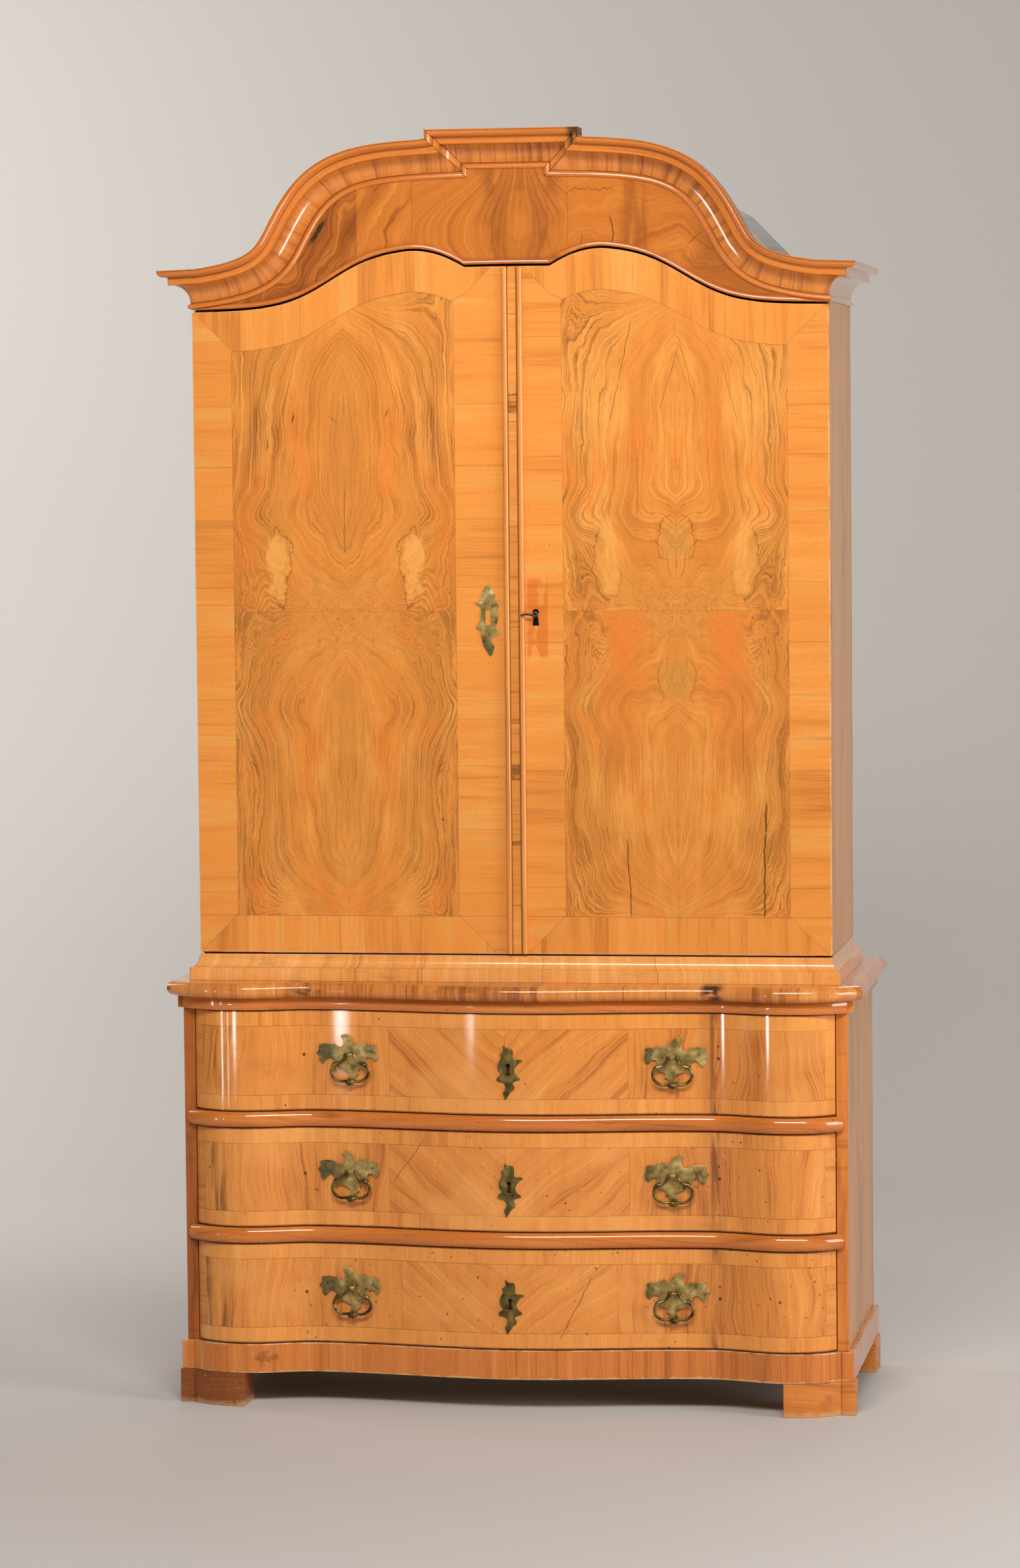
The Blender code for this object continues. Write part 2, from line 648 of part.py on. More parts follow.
front_back_y = STILE_Y + DRAWER_FRONT
drawers = (
    ("lower", PLINTH_TOP, LOWER_Z, LOWER_DRAWER_HEIGHT),
    ("middle", LOWER_RAIL_TOP, MIDDLE_Z, MIDDLE_DRAWER_HEIGHT),
    ("upper", UPPER_RAIL_TOP, UPPER_Z, UPPER_DRAWER_HEIGHT),
)
for word, seat_z, front_z, height in drawers:
    front_outline = front_line(HALF_FRONT, 0.0)
    front_outline += [(HALF_FRONT, front_back_y), (-HALF_FRONT, front_back_y)]
    front = lying(word + "_drawer_front", [front_outline], front_z, front_z + height, VENEER)
    face_y = STILE_Y - CENTRE_SWELL
    keyhole_z = front_z + height / 2 - KEYHOLE_BELOW_MIDDLE
    hole = [(u, v + keyhole_z) for u, v in keyhole_outline(1.0)]
    cut(front, standing(word + "_keyhole", [hole], face_y - 0.01, face_y + KEYHOLE_DEPTH, VENEER))

    box_half = HALF_FRONT - LOOSE_GAP * 2
    box_front_y = front_back_y + GAP
    box_back_y = chest_back_y - DRAWER_BACK_ROOM
    box_z = seat_z + GAP
    drawer_box = box(
        word + "_drawer_box",
        (-box_half, box_front_y, box_z),
        (box_half, box_back_y, box_z + DRAWER_BOX_HEIGHT),
        BARE,
    )
    room = box(
        word + "_drawer_room",
        (-box_half + DRAWER_WALL, box_front_y + DRAWER_WALL, box_z + DRAWER_BOTTOM),
        (box_half - DRAWER_WALL, box_back_y - DRAWER_WALL, box_z + DRAWER_BOX_HEIGHT + 0.01),
        BARE,
    )
    cut(drawer_box, room)

    moved = [front, drawer_box]
    outlines = [millimetres(ESCUTCHEON_OUTLINE), keyhole_outline(1.0)]
    escutcheon_y = face_y - GAP - PLATE_THICKNESS
    escutcheon = standing(
        word + "_drawer_escutcheon", outlines, escutcheon_y, escutcheon_y + PLATE_THICKNESS, BRASS
    )
    escutcheon.data.transform(Matrix.Translation((0, 0, keyhole_z)))
    moved.append(escutcheon)
    for side, where in ((-1, "left"), (1, "right")):
        place = handle_frame(side, front_z + height / 2 + HANDLE_ABOVE_MIDDLE)
        moved.append(backplate(word + "_backplate_" + where, side, place))
        moved.append(drop_handle(word + "_drop_handle_" + where, place))
    hang(word + "_drawer", (0.0, STILE_Y, front_z), moved)

# Waist moulding: a fillet, a cove and a flat band, around the front and both sides
waist_profile = [(0.0, WAIST_HEIGHT), (0.0, WAIST_HEIGHT * 0.90)]
for i in range(5):
    turn = math.radians(22.5 * i)
    waist_profile.append((
        WAIST_PROUD * (0.12 + 0.73 * (1 - math.cos(turn))),
        WAIST_HEIGHT * (0.88 - 0.38 * math.sin(turn)),
    ))
waist_profile += [(WAIST_PROUD, WAIST_HEIGHT * 0.50), (WAIST_PROUD, 0.0)]
waist_profile += [(-WAIST_INSIDE, 0.0), (-WAIST_INSIDE, WAIST_HEIGHT)]
waist_path = (
    (-HALF_CASE, CASE_BACK_Y, -1, 0), (-HALF_CASE, DOOR_Y, -1, -1),
    (HALF_CASE, DOOR_Y, 1, -1), (HALF_CASE, CASE_BACK_Y, 1, 0),
)
waist = loft(
    "waist_moulding",
    [[(x + out * u, y + out * v, WAIST_Z + up) for out, up in waist_profile] for x, y, u, v in waist_path],
    VENEER,
)

# Carcase of the cabinet: bottom, sides, back with a gable, shelves, roof boards
case_inside = HALF_CASE_INSIDE - LOOSE_GAP
case_floor = WAIST_TOP + GAP
case_back_y = CASE_BACK_Y - BACK_BOARD
side_top = SPRING_Z + SIDE_UNDER_CORNICE
for side, word in ((-1, "left"), (1, "right")):
    near, far = sorted((side * HALF_CASE_INSIDE, side * HALF_CASE))
    box("case_side_" + word, (near, CASE_FRONT_Y, case_floor), (far, CASE_BACK_Y, side_top), VENEER)
box(
    "case_bottom",
    (-case_inside, CASE_FRONT_Y, case_floor),
    (case_inside, case_back_y - LOOSE_GAP, case_floor + CASE_BOTTOM),
    BARE,
)
gable = [(case_inside, case_floor), (-case_inside, case_floor)]
gable += roof_line(ROOF_THICKNESS + LOOSE_GAP, case_inside)
standing("case_back", [gable], case_back_y, CASE_BACK_Y, BARE)
for word, rise in (("lower", LOWER_SHELF_HEIGHT), ("upper", UPPER_SHELF_HEIGHT)):
    shelf_z = WAIST_TOP + rise
    box(
        "shelf_" + word,
        (-case_inside, CASE_FRONT_Y + SHELF_SETBACK, shelf_z),
        (case_inside, case_back_y - LOOSE_GAP, shelf_z + SHELF_THICKNESS),
        BARE,
    )
roof_outline = roof_line(0.0, case_inside) + list(reversed(roof_line(ROOF_THICKNESS, case_inside)))
standing("roof_boards", [roof_outline], CASE_FRONT_Y, CASE_BACK_Y, BARE)

# Frieze board between the arch and the cornice, in one plane with the doors
frieze_outline = [(x, arch(x)) for x in arch_stations(-HALF_CASE, HALF_CASE, 52)]
for i in range(41):
    x = HALF_CASE * (1 - i / 20)
    across, up = ogee_normal(x)
    frieze_outline.append((
        max(-HALF_CASE, min(HALF_CASE, x + across * FRIEZE_UNDER_CORNICE)),
        ogee(x) + up * FRIEZE_UNDER_CORNICE,
    ))
frieze = standing("frieze_board", [frieze_outline], DOOR_Y, DOOR_BACK_Y, VENEER)

# Arch bead, which runs out where the cornice comes down on it
bead_sections = []
bead_half = HALF_CASE - 0.012
for x in arch_stations(-bead_half, bead_half, 52):
    height = min(ARCH_BEAD_HEIGHT, ogee(x) - arch(x) - GAP)
    front = DOOR_Y - GAP
    bead_sections.append([
        (x, front, arch(x)), (x, front - ARCH_BEAD_PROUD * 0.7, arch(x) + height * 0.15),
        (x, front - ARCH_BEAD_PROUD, arch(x) + height * 0.5),
        (x, front - ARCH_BEAD_PROUD * 0.7, arch(x) + height * 0.85), (x, front, arch(x) + height),
    ])
loft("arch_bead", bead_sections, VENEER)


# Cornice: a run up each side, mitred at the corner and returned along the side, and a raised middle
profile = cornice_profile()
closed_profile = profile + [(GAP, CORNICE_HEIGHT), (GAP, 0.0)]
step_z = ogee(STEP_HALF)
for side, word in ((-1, "left"), (1, "right")):
    cornice_sections = [[(side * (STEP_HALF + b), DOOR_Y - a, step_z + b) for a, b in closed_profile]]
    start = STEP_HALF + CORNICE_HEIGHT * 1.15
    for i in range(22):
        x = start + (HALF_CASE - 0.025 - start) * i / 21
        across, up = ogee_normal(x)
        cornice_sections.append([
            (side * (x + across * b), DOOR_Y - a, ogee(x) + up * b) for a, b in closed_profile
        ])
    eave = ogee(HALF_CASE)
    cornice_sections.append([(side * (HALF_CASE + a), DOOR_Y - a, eave + b) for a, b in closed_profile])
    cornice_sections.append([(side * (HALF_CASE + a), CASE_BACK_Y, eave + b) for a, b in closed_profile])
    loft("cornice_" + word, cornice_sections, VENEER)
middle_sections = []
for side, rise in ((-1, 0.0), (-1, STEP_RISE), (1, STEP_RISE), (1, 0.0)):
    middle_sections.append([
        (side * (STEP_HALF - LOOSE_GAP + b), DOOR_Y - a, step_z + rise + b) for a, b in closed_profile
    ])
loft("cornice_middle", middle_sections, VENEER)


# Doors: arched tops, back edge rounded about the pivot
def door_top(x):
    return arch(x) - ARCH_GAP


def door(name, side):
    outline = [(side * DOOR_MEET_GAP / 2, DOOR_Z), (side * HALF_CASE, DOOR_Z)]
    stations = arch_stations(DOOR_MEET_GAP / 2, HALF_CASE, 26)
    outline += [(side * x, door_top(x)) for x in reversed(stations)]
    panel = standing(name, [outline], DOOR_Y, DOOR_BACK_Y, VENEER)
    bm = bmesh.new()
    bm.from_mesh(panel.data)
    corner = []
    for edge in bm.edges:
        ends = [vert.co for vert in edge.verts]
        if all(abs(co.x - side * HALF_CASE) < 1e-5 and abs(co.y - DOOR_BACK_Y) < 1e-5 for co in ends):
            corner.append(edge)
    bmesh.ops.bevel(bm, geom=corner, offset=PIVOT_INSET, segments=5, profile=0.5, affect="EDGES")
    bm.to_mesh(panel.data)
    bm.free()
    return panel


def pivots(side, word):
    """A plate on the door's end with a pin that turns in the moulding beyond it."""
    pair = []
    near, far = sorted((side * (PIVOT_X - PIVOT_PLATE_LENGTH * 0.7), side * (PIVOT_X + PIVOT_SIDE_INSET * 0.7)))
    front, back = PIVOT_Y - PIVOT_INSET * 0.65, PIVOT_Y + PIVOT_INSET * 0.65
    top = door_top(PIVOT_X - PIVOT_PLATE_LENGTH * 0.7) + GAP
    pin_top = arch(PIVOT_X) + PIVOT_DEPTH
    for end, low, high in (
        ("top", top, top + PIVOT_PLATE),
        ("bottom", DOOR_Z - GAP - PIVOT_PLATE, DOOR_Z - GAP),
    ):
        name = word + "_door_" + end + "_pivot"
        plate = box(name, (near, front, low), (far, back, high), IRON)
        pin_low, pin_high = (low, pin_top) if end == "top" else (WAIST_TOP - PIVOT_DEPTH, high)
        pin_place = (side * PIVOT_X, PIVOT_Y, pin_low)
        fuse(plate, rod(name + "_pin", pin_place, pin_high - pin_low, PIVOT_RADIUS, ALONG_Z, IRON))
        hole_place = (side * PIVOT_X, PIVOT_Y, pin_low - PIN_CLEARANCE * 2)
        hole_length = pin_high - pin_low + PIN_CLEARANCE * 4
        hole = rod(name + "_hole", hole_place, hole_length, PIVOT_RADIUS + PIN_CLEARANCE, ALONG_Z, IRON)
        cut(frieze if end == "top" else waist, hole)
        pair.append(plate)
    return pair


left_door = door("left_door", -1)
right_door = door("right_door", 1)
door_keyhole = [(KEY_FROM_CENTRE + u, KEY_Z - 0.0063 + v) for u, v in keyhole_outline(1.4)]
cut(right_door, standing("door_keyhole", [door_keyhole], DOOR_Y - 0.01, DOOR_BACK_Y + 0.01, VENEER))

# Meeting strip: two beads beside a flat
strip_left = -STRIP_LAP
strip_right = STRIP_WIDTH - STRIP_LAP
strip_outline = [(strip_left, DOOR_Y - GAP)]
for middle in (strip_left + STRIP_BEAD / 2, strip_right - STRIP_BEAD / 2):
    for i in range(5):
        turn = math.radians(180 - 45 * i)
        x = middle + STRIP_BEAD / 2 * math.cos(turn)
        strip_outline.append((x, DOOR_Y - STRIP_PROUD + STRIP_BEAD / 2 * (1 - math.sin(turn))))
    if middle < strip_right - STRIP_BEAD:
        strip_outline.append((strip_left + STRIP_BEAD * 1.2, DOOR_Y - STRIP_FACE))
        strip_outline.append((strip_right - STRIP_BEAD * 1.2, DOOR_Y - STRIP_FACE))
strip_outline.append((strip_right, DOOR_Y - GAP))
strip_top = door_top(0.0) - DOOR_MEET_GAP
meeting_strip = lying("meeting_strip", [strip_outline], DOOR_Z, strip_top, VENEER)

# Door lock on the back of the right door, its bolt and its bent key
lock_y = DOOR_BACK_Y + GAP
lock_low = KEY_Z - LOCK_HEIGHT * 0.55
lock = box(
    "door_lock",
    (LOCK_FROM_CENTRE, lock_y, lock_low),
    (LOCK_FROM_CENTRE + LOCK_LENGTH, lock_y + LOCK_DEPTH, lock_low + LOCK_HEIGHT),
    IRON,
)
pocket_depth = LOCK_DEPTH * 0.75
pocket_place = (KEY_FROM_CENTRE, lock_y - 0.001, KEY_Z)
cut(lock, rod("lock_pocket", pocket_place, pocket_depth + 0.001, LOCK_POCKET, ALONG_Y, IRON))
bolt_low = KEY_Z + LOCK_POCKET + 0.003
bolt_front = lock_y + (LOCK_DEPTH - BOLT_DEPTH) / 2
bolt_left = LOCK_FROM_CENTRE + LOOSE_GAP
cut(lock, box(
    "bolt_slot",
    (LOCK_FROM_CENTRE - 0.001, bolt_front - PIN_CLEARANCE, bolt_low - PIN_CLEARANCE),
    (
        bolt_left + BOLT_LENGTH + PIN_CLEARANCE,
        bolt_front + BOLT_DEPTH + PIN_CLEARANCE,
        bolt_low + BOLT_HEIGHT + PIN_CLEARANCE,
    ),
    IRON,
))
lock_bolt = box(
    "lock_bolt",
    (bolt_left, bolt_front, bolt_low),
    (bolt_left + BOLT_LENGTH, bolt_front + BOLT_DEPTH, bolt_low + BOLT_HEIGHT),
    IRON,
)
key_end_y = lock_y + pocket_depth - LOOSE_GAP
key_start = (KEY_FROM_CENTRE, DOOR_Y - KEY_STAND, KEY_Z)
key_length = key_end_y - key_start[1]
key = rod("door_key", key_start, key_length, KEY_RADIUS, ALONG_Y, IRON, 10)
arm_turn = Matrix.Rotation(math.radians(-97), 4, "Y")
arm_start = (KEY_FROM_CENTRE + KEY_RADIUS * 1.6, DOOR_Y - KEY_STAND + KEY_RADIUS * 1.3, KEY_Z)
fuse(key, rod("key_arm", arm_start, KEY_ARM + KEY_RADIUS * 1.6, KEY_RADIUS * 1.1, arm_turn, IRON, 8))
bit_y = lock_y + LOOSE_GAP
fuse(key, box(
    "key_bit",
    (KEY_FROM_CENTRE - 0.0015, bit_y, KEY_Z - LOCK_POCKET * 0.85),
    (KEY_FROM_CENTRE + 0.0015, key_end_y - LOOSE_GAP, KEY_Z - KEY_RADIUS / 2),
    IRON,
))

# Blind escutcheon of the left door
escutcheon_hole = keyhole_outline(1.25)
escutcheon_y = DOOR_Y - GAP - PLATE_THICKNESS
left_escutcheon = standing(
    "left_door_escutcheon",
    [millimetres(DOOR_ESCUTCHEON_OUTLINE), escutcheon_hole],
    escutcheon_y,
    escutcheon_y + PLATE_THICKNESS,
    BRASS,
)
escutcheon_z = KEY_Z - 0.006
left_escutcheon.data.transform(Matrix.Translation((-LEFT_ESCUTCHEON_FROM_CENTRE, 0, escutcheon_z)))

# Slide bolt of the left door, which goes up behind the frieze
slide_half = SLIDE_BOLT_WIDTH / 2
slide_x = -SLIDE_BOLT_FROM_CENTRE
slide_top = strip_top
slide_low = slide_top - SLIDE_BOLT_LENGTH
slide_front = lock_y + 0.003
slide_back = slide_front + SLIDE_BOLT_DEPTH
guide_high = slide_top - SLIDE_BOLT_LENGTH * 0.28
guide_low = guide_high - SLIDE_GUIDE_LENGTH
slide_bolt = box(
    "left_door_bolt",
    (slide_x - slide_half, slide_front, slide_low),
    (slide_x + slide_half, slide_back, slide_top),
    IRON,
)
knob_place = (slide_x, slide_back - 0.001, slide_low + slide_half)
fuse(slide_bolt, rod("bolt_knob", knob_place, 0.012, slide_half * 0.9, ALONG_Y, IRON, 12))
guide_wall = slide_half + PIN_CLEARANCE + 0.0046
slide_guide = box(
    "left_door_bolt_guide",
    (slide_x - guide_wall, lock_y, guide_low),
    (slide_x + guide_wall, slide_back + 0.0025, guide_high),
    IRON,
)
cut(slide_guide, box(
    "guide_slot",
    (slide_x - slide_half - PIN_CLEARANCE, slide_front - PIN_CLEARANCE, guide_low - 0.01),
    (slide_x + slide_half + PIN_CLEARANCE, slide_back + PIN_CLEARANCE, guide_high + 0.01),
    IRON,
))

# Joint empties of the doors and of what moves on them
right_pivots = pivots(1, "right")
left_pivots = pivots(-1, "left")
key_joint = hang("key_joint", (KEY_FROM_CENTRE, DOOR_Y, KEY_Z), [key])
hang("right_door_joint", (PIVOT_X, PIVOT_Y, DOOR_Z), [
    right_door, meeting_strip, lock, lock_bolt, key_joint, *right_pivots
])
hang("left_door_joint", (-PIVOT_X, PIVOT_Y, DOOR_Z), [
    left_door, left_escutcheon, slide_bolt, slide_guide, *left_pivots
])
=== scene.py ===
import math
import random

import bmesh
import bpy
from mathutils import Matrix, Vector


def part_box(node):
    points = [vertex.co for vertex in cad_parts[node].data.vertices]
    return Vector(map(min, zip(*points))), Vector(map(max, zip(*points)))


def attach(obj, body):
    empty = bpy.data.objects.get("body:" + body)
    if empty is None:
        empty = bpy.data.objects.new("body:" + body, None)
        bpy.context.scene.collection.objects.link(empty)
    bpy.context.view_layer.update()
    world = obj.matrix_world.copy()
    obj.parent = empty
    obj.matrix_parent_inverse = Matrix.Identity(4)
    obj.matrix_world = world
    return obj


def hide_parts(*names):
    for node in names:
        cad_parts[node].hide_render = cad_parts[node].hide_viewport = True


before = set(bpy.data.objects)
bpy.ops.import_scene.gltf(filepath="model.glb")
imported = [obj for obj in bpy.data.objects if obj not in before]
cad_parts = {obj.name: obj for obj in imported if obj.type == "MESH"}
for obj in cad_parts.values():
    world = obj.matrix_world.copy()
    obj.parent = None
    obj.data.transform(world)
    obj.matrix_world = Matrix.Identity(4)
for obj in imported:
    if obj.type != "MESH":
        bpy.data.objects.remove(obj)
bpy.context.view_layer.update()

# Feet
# Four solid blocks under the corners. The front pair is shaped to the swell of the plinth, with a square
# corner, and all are glued and blocked under it. The lower edges are worn pale by sweeping and moving.


class Tone:
    """A value or a colour on its way through the nodes of one finish."""

    def __init__(self, tree, socket):
        self.tree = tree
        self.socket = socket

    def node(self, kind, settings, inputs, output=0):
        made = self.tree.nodes.new(kind)
        for key, value in settings.items():
            setattr(made, key, value)
        for key, value in inputs.items():
            if isinstance(value, Tone):
                self.tree.links.new(value.socket, made.inputs[key])
            else:
                made.inputs[key].default_value = value
        return Tone(self.tree, made.outputs[output])

    def maths(self, operation, first, second=0.0):
        return self.node("ShaderNodeMath", {"operation": operation}, {0: first, 1: second})

    def __add__(self, other):
        return self.maths("ADD", self, other)

    def __sub__(self, other):
        return self.maths("SUBTRACT", self, other)

    def __rsub__(self, other):
        return self.maths("SUBTRACT", other, self)

    def __mul__(self, other):
        return self.maths("MULTIPLY", self, other)

    def __truediv__(self, other):
        return self.maths("DIVIDE", self, other)

    def __abs__(self):
        return self.maths("ABSOLUTE", self)

    __radd__ = __add__
    __rmul__ = __mul__


def tint(red, green, blue):
    """A colour as a screen shows it, 0 to 255, turned into the linear colour that a shader takes."""
    linear = []
    for part in (red / 255, green / 255, blue / 255):
        linear.append(part / 12.92 if part < 0.0404 else ((part + 0.055) / 1.055) ** 2.4)
    return (*linear, 1.0)


def axes(where):
    return [where.node("ShaderNodeSeparateXYZ", {}, {0: where}, i) for i in range(3)]


def point(x, y, z):
    kind = next(value for value in (x, y, z) if isinstance(value, Tone))
    return kind.node("ShaderNodeCombineXYZ", {}, {0: x, 1: y, 2: z})


def ramp(value, low, high):
    """0 below low, 1 above high, smooth between."""
    limits = {"Value": value, "From Min": low, "From Max": high}
    return value.node("ShaderNodeMapRange", {"interpolation_type": "SMOOTHSTEP"}, limits)


def cloud(vector, detail=2.0, rough=0.5, warp=0.0):
    """Soft noise about 0.5."""
    inputs = {"Vector": vector, "Scale": 1.0, "Detail": detail, "Roughness": rough, "Distortion": warp}
    return vector.node("ShaderNodeTexNoise", {"noise_dimensions": "3D"}, inputs)


def mottle(x, y, z, scale, *rest):
    """Noise of one size in every direction."""
    return cloud(point(x * scale, y * scale, z * scale), *rest)


def least(first, second):
    return first.maths("MINIMUM", first, second)


def reach(x, y, z):
    """Distance of a place from zero."""
    place = point(x, y, z)
    return place.node("ShaderNodeVectorMath", {"operation": "LENGTH"}, {0: place}, 1)


def mixed(amount, under, over, how="MIX"):
    inputs = {0: amount, 6: under, 7: over}
    return amount.node("ShaderNodeMix", {"data_type": "RGBA", "blend_type": how}, inputs, 2)


def inside(value, low, high, soft=0.0004):
    return ramp(value, low - soft, low + soft) * (1 - ramp(value, high - soft, high + soft))


def stroke(value, middle, width):
    """1 on a line, 0 away from it."""
    return 1 - ramp(abs(value - middle), width * 0.3, width)


def grain(along, across, seed, wide=28.0, fine=260.0, warp=0.4):
    """Light and dark of wood fibre: broad stripes under fine streaks."""
    broad = cloud(point(along * 1.6, across * wide, seed), 3.0, 0.55, warp)
    streak = cloud(point(along * 9.0, across * fine, seed + 3.1), 2.0)
    return broad * 0.62 + streak * 0.38


def pores(along, across, seed):
    """Short dark dashes along the fibre."""
    return ramp(cloud(point(along * 75.0, across * 950.0, seed), 1.0), 0.60, 0.74)


def wood(tone, dark, middle, light):
    return mixed(ramp(tone, 0.50, 0.74), mixed(ramp(tone, 0.26, 0.50), dark, middle), light)


def finish(name, paint, metal=0.0, coat=0.0, relief=0.0003):
    """A material painted by a function of the place: colour, roughness, height and, where given, polish."""
    made = bpy.data.materials.new(name)
    made.use_nodes = True
    tree = made.node_tree
    shader = tree.nodes["Principled BSDF"]
    shader.inputs["Metallic"].default_value = metal
    shader.inputs["Specular IOR Level"].default_value = 0.5 if metal else 0.1
    shader.inputs["Coat Weight"].default_value = coat
    shader.inputs["Coat Roughness"].default_value = 0.09
    coordinates = tree.nodes.new("ShaderNodeTexCoord")
    where = Tone(tree, coordinates.outputs["Object"])
    run = Tone(tree, coordinates.outputs["UV"])
    colour, rough, height, *polish = paint(where, run)
    if polish:
        tree.links.new(polish[0].socket, shader.inputs["Coat Weight"])
    tree.links.new(colour.socket, shader.inputs["Base Color"])
    tree.links.new(rough.socket, shader.inputs["Roughness"])
    bump = where.node("ShaderNodeBump", {}, {"Strength": 1.0, "Distance": relief, "Height": height})
    tree.links.new(bump.socket, shader.inputs["Normal"])
    return made


STILE_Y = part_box("chest_side_left")[0][1]
BACK_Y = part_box("chest_side_left")[1][1]
HALF_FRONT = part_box("lower_drawer_front")[1][0]
CENTRE_SWELL = 0.049
FOLD_SWELL = 0.009
CORNER_SWELL = 0.037
FOLD_X = HALF_FRONT - 0.2115
CORNER_X = HALF_FRONT - 0.0895
CORNER_POWER = 2.5


def swell(x, half, end=0.0):
    """How far the serpentine stands forward of the stile line."""
    x = abs(x)
    if x <= FOLD_X:
        return CENTRE_SWELL + (FOLD_SWELL - CENTRE_SWELL) * (0.5 - 0.5 * math.cos(math.pi * x / FOLD_X))
    if x <= CORNER_X:
        t = (x - FOLD_X) / (CORNER_X - FOLD_X)
        return FOLD_SWELL + (CORNER_SWELL - FOLD_SWELL) * (0.5 - 0.5 * math.cos(math.pi * t))
    t = min(1.0, (x - CORNER_X) / (half - CORNER_X))
    return CORNER_SWELL + (end - CORNER_SWELL) * t ** CORNER_POWER


def front_line(half, proud, end=0.0, steps=180):
    places = [half * (2 * i / steps - 1) for i in range(steps + 1)]
    return [(x, STILE_Y - proud - swell(x, half, end)) for x in places]


def board(outline, low, high, upright=False):
    """A board of any outline: lying between two heights, or upright between two depths."""
    bm = bmesh.new()
    ends = []
    for level in (low, high):
        ends.append([bm.verts.new((u, level, v) if upright else (u, v, level)) for u, v in outline])
        bm.faces.new(ends[-1])
    for i in range(len(outline)):
        bm.faces.new((ends[0][i - 1], ends[0][i], ends[1][i], ends[1][i - 1]))
    bmesh.ops.recalc_face_normals(bm, faces=bm.faces)
    return bm


def pour(bm, into):
    """One mesh added to another."""
    mesh = bpy.data.meshes.new("poured")
    bm.to_mesh(mesh)
    bm.free()
    into.from_mesh(mesh)
    bpy.data.meshes.remove(mesh)


def eased(bm, width, segments=2, sharp=0.7):
    """Sharp edges taken off with a small round."""
    edges = [edge for edge in bm.edges if edge.is_manifold and edge.calc_face_angle() > sharp]
    bmesh.ops.bevel(bm, geom=edges, offset=width, segments=segments, profile=0.5, affect="EDGES")
    return bm


def squared(low, high, width, segments=2):
    """A plain board between two corners, its edges eased."""
    outline = [(low[0], low[1]), (high[0], low[1]), (high[0], high[1]), (low[0], high[1])]
    return eased(board(outline, low[2], high[2]), width, segments)


def piece(name, bm, material, slot, body, *nodes, crease=18):
    """A finished piece: its mesh, its material, and the body and CAD nodes it belongs to."""
    bmesh.ops.recalc_face_normals(bm, faces=bm.faces)
    for face in bm.faces:
        face.smooth = True
    mesh = bpy.data.meshes.new(name)
    bm.to_mesh(mesh)
    bm.free()
    mesh.set_sharp_from_angle(angle=math.radians(crease))
    mesh.materials.append(material)
    made = bpy.data.objects.new(name, mesh)
    bpy.context.scene.collection.objects.link(made)
    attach(made, body)
    if nodes:
        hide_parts(*nodes)
    return made


def foot_paint(where, run):
    x, y, z = axes(where)
    fibre = grain(x, z + y * 0.4, 1.7, 45.0, 420.0)
    left = wood(fibre, tint(100, 51, 23), tint(146, 80, 40), tint(174, 106, 58))
    right = wood(fibre, tint(160, 88, 36), tint(210, 126, 58), tint(226, 148, 80))
    colour = mixed(ramp(x, -0.1, 0.1), left, right)
    rub = mottle(x, y, z, 60.0, 4.0, 0.65)
    worn = ramp((0.012 - z) * 40.0 + rub, 0.52, 0.86)
    colour = mixed(worn * 0.75, colour, tint(206, 158, 104))
    stain = ramp(mottle(x, y, z, 14.0, 3.0), 0.56, 0.72)
    colour = mixed(stain * 0.45, colour, tint(64, 32, 16))
    nick = ramp(mottle(x, y, z, 230.0, 2.0), 0.66, 0.74)
    colour = mixed(nick * 0.55, colour, tint(214, 172, 128))
    return colour, fibre * 0.2 + worn * 0.3 + 0.28, fibre * 0.4 - stain * 0.3 - worn * 0.3


foot_finish = finish("worn_foot_walnut", foot_paint, coat=0.25, relief=0.0006)
FOOT_STEP = 0.007
BLOCK_WIDTH = 0.024
BLOCK_PROUD = 0.003
FRONT_FOOT_EDGE = 0.0016
BACK_FOOT_EDGE = 0.0022
SIDES = ((-1, "left"), (1, "right"))
for side, word in SIDES:
    low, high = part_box("foot_front_" + word)
    inner, outer = sorted((abs(low[0]), abs(high[0])))
    corner = outer - BLOCK_WIDTH
    outline = []
    for i in range(25):
        x = inner + (corner - inner) * i / 24
        outline.append((side * x, STILE_Y - FOOT_STEP - swell(x, corner)))
    block_y = STILE_Y - FOOT_STEP - BLOCK_PROUD
    outline += [(side * corner, block_y), (side * outer, block_y)]
    outline += [(side * outer, high[1]), (side * inner, high[1])]
    block = eased(board(outline, low[2], high[2]), FRONT_FOOT_EDGE, 3)
    piece("front_foot_" + word, block, foot_finish, "solid_walnut", "carcase", "foot_front_" + word)
    block = squared(*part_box("foot_back_" + word), BACK_FOOT_EDGE, 3)
    piece("back_foot_" + word, block, foot_finish, "solid_walnut", "carcase", "foot_back_" + word)

# Plinth
# A serpentine board with a square block at each front corner and plain returns along the sides.
# It is faced with short upright leaves of walnut, polished, with chips knocked out of the lower edge.


def leaves(along, length, seed):
    """Separate leaves of veneer side by side: the shade of each, 0 to 1, and the joints between them."""
    drift = cloud(point(along * (0.8 / length), 0.0, seed), 1.0) * 0.9
    count = along / length + drift + seed
    number = count.maths("FLOOR", count)
    part = count - number
    shade = along.node("ShaderNodeTexWhiteNoise", {"noise_dimensions": "1D"}, {"W": number * 1.37 + seed})
    edge = least(part, 1 - part) * length
    return shade, 1 - ramp(edge, 0.0002, 0.0009)


